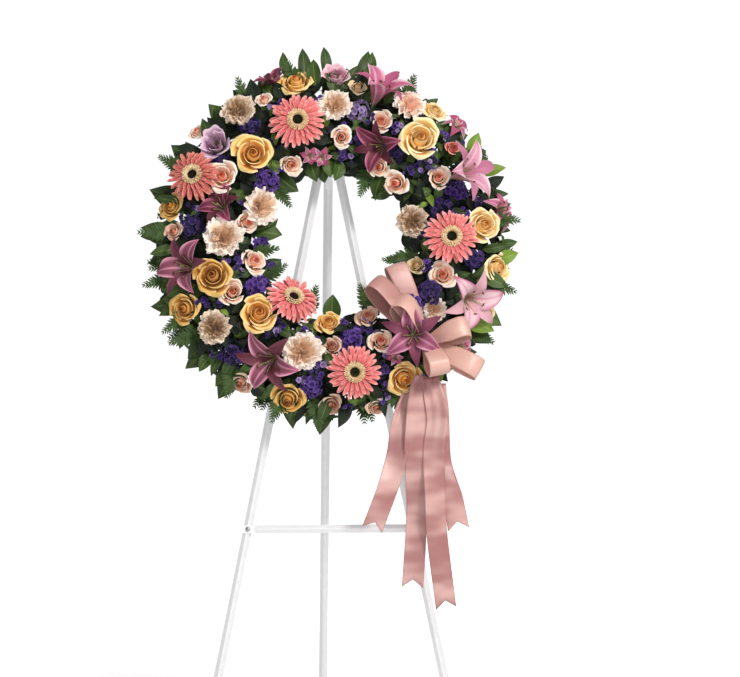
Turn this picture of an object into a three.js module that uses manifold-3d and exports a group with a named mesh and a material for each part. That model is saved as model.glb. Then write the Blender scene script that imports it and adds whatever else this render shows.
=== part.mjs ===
// A funeral wreath of fresh flowers on its folding steel easel.
// Millimetres, +Z up, the front faces -Y. The origin is on the floor, midway in width and depth.
import * as THREE from 'three';
import { mergeVertices } from 'three/addons/utils/BufferGeometryUtils.js';
import Module from 'manifold-3d';

const wasm = await Module();
wasm.setup();

// Driving dimensions of the easel
const RADIANS = Math.PI / 180;
const LEAN = 9 * RADIANS; // the front frame leans back
const DATUM_Y = -270.3; // puts the origin midway between the front and the rear
const LEG_TOP = 1141; // height of the front legs' cut tops
const FOOT_X = 244; // half the stance of the front feet
const TOP_X = 15.6; // half the gap between the front legs' centre lines at the top
const LEG_WIDTH = 17;
const LEG_DEPTH = 9;
const STEEL = 1.8; // thickness of the folded sheet
const CROSSBAR_HEIGHT = 478; // measured up the leaning frame
const CROSSBAR_REACH = 161; // half its length
const CROSSBAR_FLAT = 26; // length of its flattened ends
const PIVOT_HEIGHT = 1150; // measured up the leaning frame
const PIVOT_SETBACK = 26; // behind the frame's front plane
const REAR_REACH = 385; // from below the pivot back to the rear foot
const PIN_RADIUS = 3;
const GAP = 0.4; // between touching pieces

// Driving dimensions of the wreath
const RING_HEIGHT = 992; // centre of the ring, up the leaning frame
const RING_RADIUS = 220; // centre line of the foam
const FOAM_HALF_WIDTH = 45;
const FOAM_TOP = 62;
const TRAY_WALL = 2;
const RING_SIDES = 36;
const STEM_DEPTH = 30; // where the stems end, above the ring's back
const STEM_RADIUS = 2.5;
const CROWN_RISE = 84; // how far the bloom faces stand above the stem ends
const CROWN_REACH = 112; // half width of the crown of blooms
const INWARD = 0.35; // how much of a bloom's offset its stem keeps inside the foam
const CLEARANCE = 0.8; // kept free round a neighbour that a piece makes way for

// Driving dimensions of the ribbon
const RIBBON_WIDTH = 38;
const RIBBON_THICKNESS = 1.2;
const RIBBON_NOTCH = 14;
const BOW_SEAT = [311, 254, 4]; // ring angle, ring radius and lift of the bow's waist
const WAIST_RADIUS = 9;
const GATHER = 0.35; // share of the ribbon's width left at the bow's waist

const COLOURS = {
  whitePaint: 0xe9eaec,
  zinc: 0xb9bcc0,
  trayGreen: 0x2f4a33,
  foamGreen: 0x4c6b46,
  gerbera: 0xe88f8a,
  rose: 0xf2c583,
  lily: 0xc46f9c,
  carnation: 0xefd9c6,
  lisianthus: 0xbf97b6,
  sprayRose: 0xeebfa8,
  statice: 0x5a3a97,
  leaf: 0x35522c,
  ribbon: 0xd59c97,
  pickWood: 0xb59a6c,
};

// Solids ------------------------------------------------------------------

function bare(geometry) {
  const shape = geometry.index ? geometry : geometry.clone();
  shape.deleteAttribute('normal');
  shape.deleteAttribute('uv');
  const merged = mergeVertices(shape, 1e-3);
  const corners = merged.index.array;
  const kept = [];
  for (let i = 0; i < corners.length; i += 3) {
    const [a, b, c] = [corners[i], corners[i + 1], corners[i + 2]];
    if (a !== b && b !== c && c !== a) kept.push(a, b, c);
  }
  merged.setIndex(kept);
  return merged;
}

function toSolid(geometry) {
  const shape = bare(geometry);
  return new wasm.Manifold(new wasm.Mesh({
    numProp: 3,
    vertProperties: new Float32Array(shape.attributes.position.array),
    triVerts: new Uint32Array(shape.index.array),
  }));
}

function toGeometry(solid) {
  const mesh = solid.getMesh();
  const geometry = new THREE.BufferGeometry();
  geometry.setAttribute('position', new THREE.BufferAttribute(mesh.vertProperties, 3));
  geometry.setIndex(new THREE.BufferAttribute(mesh.triVerts, 1));
  return geometry;
}

function joined(geometries) {
  return toGeometry(geometries.map(toSolid).reduce((whole, part) => whole.add(part)));
}

function cut(geometry, tools) {
  return toGeometry(tools.map(toSolid).reduce((rest, tool) => rest.subtract(tool), toSolid(geometry)));
}

function place(geometry, position, rotation = [0, 0, 0]) {
  const turn = new THREE.Quaternion().setFromEuler(new THREE.Euler(...rotation));
  const at = new THREE.Vector3(...position);
  return geometry.applyMatrix4(new THREE.Matrix4().compose(at, turn, new THREE.Vector3(1, 1, 1)));
}

function block(low, high) {
  const size = high.map((value, axis) => value - low[axis]);
  return place(new THREE.BoxGeometry(...size), low.map((value, axis) => value + size[axis] / 2));
}

function prism(radius, sides, from, to) { // along X
  const rod = new THREE.CylinderGeometry(radius, radius, to - from, sides);
  return place(rod, [(from + to) / 2, 0, 0], [0, 0, -Math.PI / 2]);
}

function turned(profile, sides) { // [radius, height] pairs turned about Z
  const points = profile.map(([radius, height]) => new THREE.Vector2(radius, height));
  return place(new THREE.LatheGeometry(points, sides), [0, 0, 0], [Math.PI / 2, 0, 0]);
}

function outline(points) {
  return new THREE.Shape(points.map(([x, y]) => new THREE.Vector2(x, y)));
}

function extruded(points, depth) {
  return new THREE.ExtrudeGeometry(outline(points), { depth, bevelEnabled: false });
}

function piece(name, geometry, colour, roughness = 0.6, metalness = 0) {
  const material = new THREE.MeshStandardMaterial({ color: colour, roughness, metalness });
  const mesh = new THREE.Mesh(geometry, material);
  mesh.name = name;
  return mesh;
}

// Easel --------------------------------------------------------------------

const angleSection = [ // a folded strip seen from above, its ridge to the front
  [-LEG_WIDTH / 2, LEG_DEPTH - STEEL],
  [-STEEL, 0],
  [STEEL, 0],
  [LEG_WIDTH / 2, LEG_DEPTH - STEEL],
  [LEG_WIDTH / 2 - 1, LEG_DEPTH],
  [STEEL / 2, STEEL],
  [-STEEL / 2, STEEL],
  [1 - LEG_WIDTH / 2, LEG_DEPTH],
];

function slantedLeg(foot, top) { // level cuts at both ends
  const leg = extruded(angleSection, 1);
  const rise = new THREE.Vector3().subVectors(top, foot);
  const slant = new THREE.Matrix4().set(
    1, 0, rise.x, foot.x,
    0, 1, rise.y, foot.y,
    0, 0, rise.z, foot.z,
    0, 0, 0, 1,
  );
  return leg.applyMatrix4(slant);
}

function frontLeg(side) {
  const foot = new THREE.Vector3(side * FOOT_X, 0, 0);
  const top = new THREE.Vector3(side * TOP_X, LEG_TOP * Math.tan(LEAN), LEG_TOP);
  return slantedLeg(foot, top);
}

const pivot = new THREE.Vector3(
  0,
  PIVOT_HEIGHT * Math.sin(LEAN) + PIVOT_SETBACK * Math.cos(LEAN),
  PIVOT_HEIGHT * Math.cos(LEAN) - PIVOT_SETBACK * Math.sin(LEAN),
);

function rearLeg() {
  const foot = new THREE.Vector3(0, pivot.y + REAR_REACH, 0);
  const slope = REAR_REACH / pivot.z;
  const lead = LEG_DEPTH / 2; // the pin passes through the middle of the strip's depth
  const top = new THREE.Vector3(0, pivot.y + slope * 16 - lead, pivot.z - 16);
  foot.y -= lead;
  const head = extruded([[-8, 8], [8, 8], [8, -8], [6, -34], [-6, -34], [-8, -8]], 12);
  place(head, [-6, pivot.y, pivot.z], [Math.PI / 2, Math.PI / 2, 0]);
  const bore = place(prism(PIN_RADIUS + 0.3, 16, -10, 10), [0, pivot.y, pivot.z]);
  return cut(joined([slantedLeg(foot, top), head]), [bore]);
}

function topBracket() { // seen up the leaning frame: x, up, forward
  const back = -LEG_DEPTH - GAP;
  const plate = block([-30, PIVOT_HEIGHT - 18, back - 2], [30, PIVOT_HEIGHT + 40, back]);
  const lugs = [-1, 1].map((side) => {
    const x = [side * 6.4, side * 8.6].sort((a, b) => a - b);
    return block([x[0], PIVOT_HEIGHT - 12, -PIVOT_SETBACK - 10], [x[1], PIVOT_HEIGHT + 12, back - 1]);
  });
  const hookTop = RING_HEIGHT + RING_RADIUS - FOAM_HALF_WIDTH - TRAY_WALL - 1.8;
  const front = FOAM_TOP + 3;
  const hook = [
    block([-6, hookTop - 3, back - 1], [6, hookTop, front + 3]),
    block([-6, hookTop - 3, front], [6, hookTop + 14, front + 3]),
  ];
  const bore = place(prism(PIN_RADIUS + 0.3, 16, -20, 20), [0, PIVOT_HEIGHT, -PIVOT_SETBACK]);
  return cut(joined([plate, ...lugs, ...hook]), [bore]);
}

function pivotBolt() {
  const head = prism(5.5, 6, -12.9, -8.6 - GAP);
  const shank = prism(PIN_RADIUS, 16, -9.5, 15);
  return place(joined([head, shank]), [0, PIVOT_HEIGHT, -PIVOT_SETBACK]);
}

function pivotNut() {
  const nut = prism(5.5, 6, 8.6 + GAP, 13.4);
  const bore = prism(PIN_RADIUS + 0.3, 16, 0, 20);
  return place(cut(nut, [bore]), [0, PIVOT_HEIGHT, -PIVOT_SETBACK]);
}

const rivetX = FOOT_X - (FOOT_X - TOP_X) * (CROSSBAR_HEIGHT * Math.cos(LEAN)) / LEG_TOP;

function crossbar() {
  const middle = 2 * (CROSSBAR_REACH - CROSSBAR_FLAT) + 2;
  const ridge = [[-7.5, 0], [-1, 5], [1, 5], [7.5, 0], [5.2, 0], [0.5, 3.4], [-0.5, 3.4], [-5.2, 0]];
  const channel = place(extruded(ridge, middle), [-middle / 2, 0, GAP], [Math.PI / 2, Math.PI / 2, 0]);
  const ends = [-1, 1].flatMap((side) => {
    const tip = side * CROSSBAR_REACH;
    const root = side * (CROSSBAR_REACH - CROSSBAR_FLAT);
    const bend = tip - side * 2;
    return [
      block([Math.min(tip, root), -7.5, GAP], [Math.max(tip, root), 7.5, GAP + 2]),
      block([Math.min(tip, bend), -7.5, GAP], [Math.max(tip, bend), 7.5, GAP + 8]),
    ];
  });
  const bores = [-1, 1].map((side) => {
    const bore = new THREE.CylinderGeometry(2.6, 2.6, 12, 12);
    return place(bore, [side * rivetX, 0, 3], [Math.PI / 2, 0, 0]);
  });
  return place(cut(joined([channel, ...ends]), bores), [0, CROSSBAR_HEIGHT, 0]);
}

function rivet(side) {
  const seat = GAP + 2 + GAP;
  const profile = [[0, GAP], [2.2, GAP], [2.2, seat], [4.6, seat], [4, seat + 1.6], [0, seat + 2.4]];
  return place(turned(profile, 12), [side * rivetX, CROSSBAR_HEIGHT, 0]);
}

// Flowers: each is turned about its own stem, with its face up -----------------

// factor(angle, share) scales a ring of the turned bloom; stems and the axis stay as they are
function ruffled(profile, sides, factor) {
  const geometry = turned(profile, sides);
  const at = geometry.attributes.position;
  const widest = Math.max(...profile.map(([radius]) => radius));
  for (let i = 0; i < at.count; i += 1) {
    const radius = Math.hypot(at.getX(i), at.getY(i));
    if (radius > 0.2 * widest) {
      const scale = factor(Math.atan2(at.getY(i), at.getX(i)), radius / widest);
      at.setX(i, at.getX(i) * scale);
      at.setY(i, at.getY(i) * scale);
    }
  }
  return geometry;
}

const lobes = (count, depth) => (angle, share) => 1 - depth * share * (0.5 - 0.5 * Math.cos(count * angle));

const blooms = {
  gerbera: (radius, stem) => ruffled([
    [0, -stem], [STEM_RADIUS + 0.5, -stem], [STEM_RADIUS + 0.5, -12], [9, -7], [0.6 * radius, -1],
    [radius, 1], [0.98 * radius, 3], [0.6 * radius, 4], [0.3 * radius, 6], [0, 5],
  ], 20, lobes(10, 0.12)),
  yellow_rose: (radius, stem) => ruffled([
    [0, -stem], [STEM_RADIUS, -stem], [STEM_RADIUS, -radius - 5], [7, -radius], [0.75 * radius, -0.5 * radius],
    [radius, -2], [0.93 * radius, 2], [0.62 * radius, -2], [0.52 * radius, 7], [0.25 * radius, 8], [0, 3],
  ], 10, lobes(5, 0.12)),
  carnation: (radius, stem) => ruffled([
    [0, -stem], [STEM_RADIUS, -stem], [STEM_RADIUS, -radius - 8], [7, -radius - 2], [8, -0.5 * radius],
    [0.85 * radius, -0.25 * radius], [radius, 0], [0.75 * radius, 8], [0.4 * radius, 12], [0, 12],
  ], 14, lobes(7, 0.14)),
  lisianthus: (radius, stem) => ruffled([
    [0, -stem], [STEM_RADIUS, -stem], [STEM_RADIUS, -radius - 4], [8, -0.8 * radius], [0.6 * radius, -0.5 * radius],
    [radius, 0], [0.92 * radius, 2], [0.5 * radius, -8], [0, -12],
  ], 12, lobes(6, 0.15)),
  lily: (radius, stem) => ruffled([
    [0, -stem], [STEM_RADIUS + 0.5, -stem], [STEM_RADIUS + 0.5, -26], [0.22 * radius, -14],
    [0.55 * radius, 0], [radius, -3], [0.98 * radius, -0.5], [0.55 * radius, 3], [0.22 * radius, -9], [0, -16],
  ], 12, (angle, share) => (Math.cos(6 * angle) > 0 ? 1 : 1 - 0.62 * share)),
  spray_rose: (radius, stem) => ruffled([
    [0, -stem], [2, -stem], [2, -radius - 4], [5, -radius], [0.8 * radius, -0.5 * radius],
    [radius, 0], [0.6 * radius, 3], [0, 4],
  ], 8, lobes(4, 0.1)),
  statice: (radius, stem) => ruffled([
    [0, -stem], [2, -stem], [2, -radius], [0.6 * radius, -0.6 * radius], [radius, 0],
    [0.9 * radius, 6], [0.4 * radius, 12], [0, 12],
  ], 10, lobes(5, 0.2)),
};

// A place on the crown of blooms: ring angle and radius, and how far it stands proud
function facing(clock, radius, lift) {
  const offset = (radius - RING_RADIUS) / CROWN_REACH;
  const rise = CROWN_RISE * Math.sqrt(1 - offset * offset) + lift;
  const angle = clock * RADIANS;
  const outward = new THREE.Vector3(Math.cos(angle), Math.sin(angle), 0);
  const root = RING_RADIUS + INWARD * (radius - RING_RADIUS);
  const end = outward.clone().multiplyScalar(root).setZ(STEM_DEPTH);
  const face = outward.clone().multiplyScalar(radius).setZ(STEM_DEPTH + rise);
  return { end, face, axis: face.clone().sub(end).normalize(), stem: face.distanceTo(end) };
}

// Each bloom: ring angle in degrees from the right, ring radius, its own radius, lift
const PLANTING = {
  gerbera: [
    [106, 218, 52, 20], [156, 270, 49, 16], [238, 130, 49, 24], [359, 214, 51, 22], [279, 250, 50, 22],
  ],
  yellow_rose: [
    [133, 205, 38, 14], [48, 240, 40, 22], [5, 277, 34, 12], [199, 224, 37, 16], [227, 189, 36, 10],
    [297, 286, 33, 4], [102, 303, 34, 4], [255, 301, 32, 4], [206, 292, 31, 2], [268, 151, 25, 0], [168, 295, 27, -2],
  ],
  lily: [
    [72, 284, 62, 10], [26, 267, 64, 18], [335, 272, 62, 16], [308, 231, 58, 30], [244, 248, 62, 14],
    [192, 262, 60, 12], [164, 205, 46, 0],
  ],
  carnation: [
    [181, 192, 37, 14], [154, 139, 34, 2], [125, 290, 34, 2], [88, 245, 32, -2], [256, 216, 37, 10],
    [218, 265, 32, 0], [13, 152, 32, -4],
  ],
  lisianthus: [[140, 272, 31, 0], [88, 314, 31, 0]],
  spray_rose: [
    [[196, 142, 26, 4], [209, 202, 24, -8], [168, 153, 23, -6]],
    [[57, 159, 21, -4], [41, 155, 25, 4]],
    [[30, 225, 24, -6], [67, 237, 24, -8]],
    [[341, 211, 27, 2], [343, 158, 18, -6]],
    [[295, 206, 25, -4], [295, 154, 23, 0], [270, 195, 20, -12]],
  ],
  statice: [[22, 246, 24, -20], [137, 154, 26, -2]],
};

const COLOUR_OF = {
  gerbera: COLOURS.gerbera,
  yellow_rose: COLOURS.rose,
  lily: COLOURS.lily,
  carnation: COLOURS.carnation,
  lisianthus: COLOURS.lisianthus,
  spray_rose: COLOURS.sprayRose,
  statice: COLOURS.statice,
};

const UP = new THREE.Vector3(0, 0, 1);

function pose(object, face, axis) {
  object.quaternion.setFromUnitVectors(UP, axis);
  object.position.copy(face);
  object.updateMatrix();
}

function flower(name, kind, [clock, radius, size, lift]) {
  const { face, axis, stem } = facing(clock, radius, lift);
  const mesh = piece(name, bare(blooms[kind](size, stem)), COLOUR_OF[kind]);
  pose(mesh, face, axis);
  return mesh;
}

function spray(name, heads) { // several heads on one stem that forks just above the foam
  const [firstClock, firstRadius] = heads[0];
  const main = facing(firstClock, firstRadius, 0);
  const fork = main.end.clone().addScaledVector(main.axis, 36);
  const parts = heads.map(([clock, radius, size, lift], index) => {
    const { face } = facing(clock, radius, lift);
    const from = index === 0 ? main.end : fork;
    const holder = new THREE.Object3D();
    pose(holder, face, face.clone().sub(from).normalize());
    return bare(blooms.spray_rose(size, face.distanceTo(from))).applyMatrix4(holder.matrix);
  });
  return piece(name, joined(parts), COLOUR_OF.spray_rose);
}

function flowers() {
  return Object.entries(PLANTING).flatMap(([kind, list]) => list.map((entry, index) => {
    const name = `${kind}_${index + 1}`;
    return kind === 'spray_rose' ? spray(`${kind}_spray_${index + 1}`, entry) : flower(name, kind, entry);
  }));
}

// Greenery: a curved twig along the ring's outer edge, with its leaves -----------

const TWIG_RADIUS = 276;
const TWIG_DEPTH = 30;
const LEAF_TIP = 343;

function leaf(clock, tip, width, lift) {
  const root = TWIG_RADIUS - 4;
  const reach = tip - root;
  const side = [[0, 0], [0.25, 0.42], [0.55, 0.5], [0.85, 0.22], [1, 0]];
  const edge = [...side, ...side.slice(1, -1).reverse().map(([along, across]) => [along, -across])];
  const points = edge.map(([along, across]) => [along * reach, across * width]);
  const blade = extruded(points, 2);
  const at = blade.attributes.position;
  for (let i = 0; i < at.count; i += 1) { // the blade rises forward towards its tip
    at.setZ(i, at.getZ(i) - 1 + lift * (at.getX(i) / reach) ** 2);
  }
  place(blade, [root, 0, TWIG_DEPTH]);
  return place(blade, [0, 0, 0], [0, 0, clock * RADIANS]);
}

function sprig(name, from, to, leaves) {
  const arc = new THREE.Path().absarc(0, 0, TWIG_RADIUS, from * RADIANS, to * RADIANS, false);
  const points = arc.getPoints(9).map(({ x, y }) => new THREE.Vector3(x, y, TWIG_DEPTH));
  const section = new THREE.Path().absarc(0, 0, 2, 0, 2 * Math.PI).getPoints(3).slice(0, -1);
  const twig = new THREE.ExtrudeGeometry(new THREE.Shape(section), {
    steps: 10, bevelEnabled: false, extrudePath: new THREE.CatmullRomCurve3(points),
  });
  const peg = prism(2.5, 6, RING_RADIUS + 20, TWIG_RADIUS);
  place(peg, [0, 0, TWIG_DEPTH], [0, 0, (from + to) / 2 * RADIANS]);
  const blades = leaves.map(([clock, width, lift, tip = LEAF_TIP]) => leaf(clock, tip, width, lift));
  return piece(name, joined([twig, peg, ...blades]), COLOURS.leaf);
}

// Each leaf: ring angle, width, how far its tip comes forward, and its tip's ring radius where it differs
function greenery() {
  return [
    sprig('salal_sprig_left', 144, 214, [[148, 40, 20], [163, 44, 34], [176, 40, 12], [187, 24, 30], [201, 42, 26],
      [211, 26, 10]]),
    sprig('salal_sprig_bottom', 219, 283, [[221, 40, 22], [234, 42, 10], [246, 24, 32], [257, 40, 24],
      [267, 42, 12], [281, 26, 22]]),
    sprig('salal_sprig_right', 317, 393, [[319, 42, 14], [328, 34, 34], [336, 42, 18], [356, 26, 24], [371, 26, 12],
      [391, 26, 26]]),
    sprig('salal_sprig_top', 51, 133, [[55, 40, 14], [78, 38, 26], [89, 36, 10], [101, 26, 32], [111, 40, 16],
      [130, 42, 24]]),
  ];
}

// Ring -----------------------------------------------------------------------

function ringTray() {
  const inner = RING_RADIUS - FOAM_HALF_WIDTH - 1;
  const outer = RING_RADIUS + FOAM_HALF_WIDTH + 1;
  const [floor, rim] = [GAP, 19];
  const profile = [
    [inner - TRAY_WALL, floor], [outer + TRAY_WALL, floor], [outer + TRAY_WALL, rim], [outer, rim],
    [outer, floor + TRAY_WALL], [inner, floor + TRAY_WALL], [inner, rim], [inner - TRAY_WALL, rim],
    [inner - TRAY_WALL, floor],
  ];
  return bare(turned(profile, RING_SIDES));
}

function foamRing(stems) {
  const [inner, outer] = [RING_RADIUS - FOAM_HALF_WIDTH, RING_RADIUS + FOAM_HALF_WIDTH];
  const base = GAP + TRAY_WALL + GAP;
  const shoulder = 14;
  const profile = [
    [inner, base], [outer, base], [outer, FOAM_TOP - shoulder], [outer - shoulder, FOAM_TOP],
    [inner + shoulder, FOAM_TOP], [inner, FOAM_TOP - shoulder], [inner, base],
  ];
  return cut(turned(profile, RING_SIDES), stems);
}

// A six-sided hole that takes a stem with a little room
function stemHole(end, axis) {
  const hole = new THREE.CylinderGeometry(STEM_RADIUS + 1.1, STEM_RADIUS + 1.1, 100, 6);
  const turn = new THREE.Object3D();
  place(hole, [0, 0, 49.6], [Math.PI / 2, 0, 0]);
  pose(turn, end, axis);
  return hole.applyMatrix4(turn.matrix);
}

function stemHoles() {
  const single = Object.entries(PLANTING).filter(([kind]) => kind !== 'spray_rose');
  const forks = PLANTING.spray_rose.map(([[clock, radius]]) => [clock, radius, 0, 0]);
  const [bowClock, bowRadius, bowLift] = BOW_SEAT;
  const entries = [...single.flatMap(([, list]) => list), ...forks, [bowClock, bowRadius, 0, bowLift]];
  const holes = entries.map(([clock, radius, , lift]) => {
    const { end, axis } = facing(clock, radius, lift);
    return stemHole(end, axis);
  });
  const twigs = [[144, 214], [219, 283], [317, 393], [51, 133]].map(([from, to]) => {
    const outward = new THREE.Vector3(1, 0, 0).applyAxisAngle(UP, (from + to) / 2 * RADIANS);
    return stemHole(outward.clone().multiplyScalar(RING_RADIUS + 20).setZ(TWIG_DEPTH), outward);
  });
  return [...holes, ...twigs];
}

// Making way: later pieces are cut back from earlier ones ------------------------

function grown(solid) {
  const shifts = [[1, 0, 0], [-1, 0, 0], [0, 1, 0], [0, -1, 0], [0, 0, 1], [0, 0, -1]];
  return shifts.reduce((whole, shift) => {
    const moved = solid.translate(shift.map((value) => value * CLEARANCE));
    return whole.add(moved);
  }, solid);
}

function makeWay(meshes) {
  const settled = [];
  meshes.forEach((mesh) => {
    const box = new THREE.Box3().setFromObject(mesh);
    let solid = toSolid(mesh.geometry.clone().applyMatrix4(mesh.matrix));
    const whole = solid.volume();
    settled.filter((other) => other.box.intersectsBox(box)).forEach((other) => {
      solid = solid.subtract(other.solid);
    });
    if (solid.volume() < whole - 0.001) {
      const rests = solid.simplify(CLEARANCE / 4).decompose().sort((a, b) => b.volume() - a.volume());
      mesh.geometry = toGeometry(rests[0]).applyMatrix4(mesh.matrix.clone().invert());
    }
    const final = toSolid(mesh.geometry.clone().applyMatrix4(mesh.matrix));
    settled.push({ solid: grown(final), box: box.expandByScalar(CLEARANCE) });
  });
}

// Ribbon ----------------------------------------------------------------------

// One loop of the bow: a band bent back on itself, out along X, and gathered at the waist
function ribbonLoop(length, height, roll, direction, tilt) {
  const band = new THREE.Shape();
  band.moveTo(0, 0);
  band.bezierCurveTo(0.35 * length, -0.2 * height, length, -0.75 * height, length, 0);
  band.bezierCurveTo(length, 0.75 * height, 0.35 * length, 0.2 * height, 0, 0);
  const inside = new THREE.Path();
  const inset = 2 * RIBBON_THICKNESS;
  const reach = length - inset;
  inside.moveTo(6 * inset, 0);
  inside.bezierCurveTo(0.45 * length, 0.2 * height - inset, reach, 0.75 * height - inset, reach, 0);
  inside.bezierCurveTo(reach, inset - 0.75 * height, 0.45 * length, inset - 0.2 * height, 6 * inset, 0);
  band.holes.push(inside);
  const settings = { depth: RIBBON_WIDTH, bevelEnabled: false, curveSegments: 4 };
  const loop = place(new THREE.ExtrudeGeometry(band, settings), [0, 0, -RIBBON_WIDTH / 2]);
  const at = loop.attributes.position;
  for (let i = 0; i < at.count; i += 1) {
    const spread = Math.min(1, GATHER + (1 - GATHER) * at.getX(i) / (0.6 * length));
    at.setZ(i, at.getZ(i) * spread);
  }
  place(loop, [0, 0, 0], [roll * RADIANS, 0, 0]);
  const turn = new THREE.Euler(0, -tilt * RADIANS, direction * RADIANS, 'ZYX');
  return loop.applyMatrix4(new THREE.Matrix4().makeRotationFromEuler(turn));
}

// Each loop: length, height, roll about its length, direction across the wreath, tilt forward
const LOOPS = [
  [156, 40, 84, 111, 2], [148, 44, 52, 131, 12], [98, 50, 40, 124, 26],
  [84, 46, 78, 18, 22], [80, 46, 78, -70, 40], [110, 44, 88, -29, 10],
];

function bowLoops() {
  const waist = new THREE.SphereGeometry(WAIST_RADIUS, 10, 6);
  return joined([waist, ...LOOPS.map((settings) => ribbonLoop(...settings))]);
}

// The wired pick that holds the bow in the foam
function bowPick() {
  const { end, face, axis } = facing(...BOW_SEAT);
  const length = face.distanceTo(end) - WAIST_RADIUS - 1;
  const rod = new THREE.CylinderGeometry(2.2, 2.2, length, 8);
  place(rod, [0, 0, length / 2], [Math.PI / 2, 0, 0]);
  const mesh = piece('bow_pick', bare(rod), COLOURS.pickWood, 0.8);
  pose(mesh, end, axis);
  return mesh;
}

// A hanging tail: its middle line runs down through the points, and its end has a notch
function ribbonTail(route) {
  const rows = 9;
  const curve = new THREE.CatmullRomCurve3(route.map((point) => new THREE.Vector3(...point)));
  const positions = [];
  for (let row = 0; row <= rows; row += 1) {
    const middle = curve.getPoint(row / rows);
    const along = curve.getTangent(row / rows);
    const across = new THREE.Vector3(0, -1, 0).cross(along).normalize().multiplyScalar(RIBBON_WIDTH / 2);
    const through = new THREE.Vector3(0, RIBBON_THICKNESS / 2, 0);
    [through.clone().negate(), through].forEach((skin) => {
      [-1, 0, 1].forEach((share) => {
        const point = middle.clone().addScaledVector(across, share).add(skin);
        if (row === rows && share === 0) point.addScaledVector(along, -RIBBON_NOTCH);
        positions.push(point.x, point.y, point.z);
      });
    });
  }
  const faces = [];
  const quad = (a, b, c, d) => faces.push(a, c, b, a, d, c);
  for (let row = 0; row < rows; row += 1) {
    const at = 6 * row;
    [0, 1].forEach((i) => {
      quad(at + i, at + i + 1, at + i + 7, at + i + 6);
      quad(at + i + 3, at + i + 9, at + i + 10, at + i + 4);
    });
    quad(at, at + 6, at + 9, at + 3);
    quad(at + 2, at + 5, at + 11, at + 8);
  }
  const last = 6 * rows;
  [0, 1].forEach((i) => {
    quad(i, i + 3, i + 4, i + 1);
    quad(last + i, last + i + 1, last + i + 4, last + i + 3);
  });
  const geometry = new THREE.BufferGeometry();
  geometry.setAttribute('position', new THREE.Float32BufferAttribute(positions, 3));
  geometry.setIndex(faces);
  return geometry;
}

// Middle lines of the tails, from under the bow to the notched ends: x, y, z
const TAILS = [
  [[141, 16, 718], [123, -1, 660], [116, -4, 618], [107, -4, 580], [94, -4, 542], [70, -4, 479]],
  [[161, -2, 750], [152, -9, 706], [147, -10, 638], [147, -10, 590], [149, -10, 500], [141, -10, 377]],
  [[174, -8, 748], [185, -16, 680], [179, -16, 620], [181, -16, 542], [184, -16, 469], [200, -16, 341]],
  [[188, 5, 736], [190, 2, 660], [194, 2, 600], [204, 2, 560], [214, 2, 530], [224, 2, 478]],
];

// Assembly ----------------------------------------------------------------------

const stand = new THREE.Group();
stand.position.y = DATUM_Y;
const paint = [COLOURS.whitePaint, 0.35, 0.1];
stand.add(piece('left_front_leg', bare(frontLeg(-1)), ...paint));
stand.add(piece('right_front_leg', bare(frontLeg(1)), ...paint));
stand.add(piece('rear_leg', rearLeg(), ...paint));
TAILS.forEach((route, index) => {
  stand.add(piece(`ribbon_tail_${index + 1}`, ribbonTail(route), COLOURS.ribbon, 0.35));
});

const frame = new THREE.Group();
frame.rotation.x = Math.PI / 2 - LEAN;
stand.add(frame);
frame.add(piece('crossbar', crossbar(), ...paint));
frame.add(piece('top_bracket', topBracket(), ...paint));
frame.add(piece('pivot_bolt', pivotBolt(), COLOURS.zinc, 0.3, 0.9));
frame.add(piece('pivot_nut', pivotNut(), COLOURS.zinc, 0.3, 0.9));
frame.add(piece('crossbar_rivet_left', bare(rivet(-1)), COLOURS.zinc, 0.3, 0.9));
frame.add(piece('crossbar_rivet_right', bare(rivet(1)), COLOURS.zinc, 0.3, 0.9));

const ring = new THREE.Group();
ring.position.y = RING_HEIGHT;
frame.add(ring);
ring.add(piece('ring_tray', ringTray(), COLOURS.trayGreen, 0.5));
ring.add(piece('foam_ring', foamRing(stemHoles()), COLOURS.foamGreen, 0.95));
const bow = piece('bow_loops', bowLoops(), COLOURS.ribbon, 0.35);
bow.position.copy(facing(...BOW_SEAT).face);
bow.updateMatrix();
const crown = [...flowers(), bowPick(), bow, ...greenery()];
makeWay(crown);
crown.forEach((mesh) => ring.add(mesh));

export default stand;
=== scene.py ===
"""A funeral wreath on its folding easel: the looks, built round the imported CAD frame."""
from math import acos, comb, cos, pi, radians, sin, sqrt
import zlib

import bpy
import numpy as np
from mathutils import Matrix, Vector


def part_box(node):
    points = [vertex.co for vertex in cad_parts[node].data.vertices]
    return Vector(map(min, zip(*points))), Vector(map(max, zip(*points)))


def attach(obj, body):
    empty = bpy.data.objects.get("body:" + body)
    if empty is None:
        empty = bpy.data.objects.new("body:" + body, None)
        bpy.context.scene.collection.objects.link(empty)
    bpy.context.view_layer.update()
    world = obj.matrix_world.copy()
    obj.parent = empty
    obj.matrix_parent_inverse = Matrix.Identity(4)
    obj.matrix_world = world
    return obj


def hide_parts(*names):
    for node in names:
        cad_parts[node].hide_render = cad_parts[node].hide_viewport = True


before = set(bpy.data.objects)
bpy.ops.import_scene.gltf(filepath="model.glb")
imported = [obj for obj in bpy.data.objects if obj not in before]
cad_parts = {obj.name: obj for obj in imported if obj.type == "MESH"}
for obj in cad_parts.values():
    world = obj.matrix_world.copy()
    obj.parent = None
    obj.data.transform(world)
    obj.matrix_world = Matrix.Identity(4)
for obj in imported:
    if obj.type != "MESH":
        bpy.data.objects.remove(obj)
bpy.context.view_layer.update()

MM = 0.001
UP = np.array([0.0, 0.0, 1.0])
GOLDEN_ANGLE = 2.39996
EYE_FLORETS = 90

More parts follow.
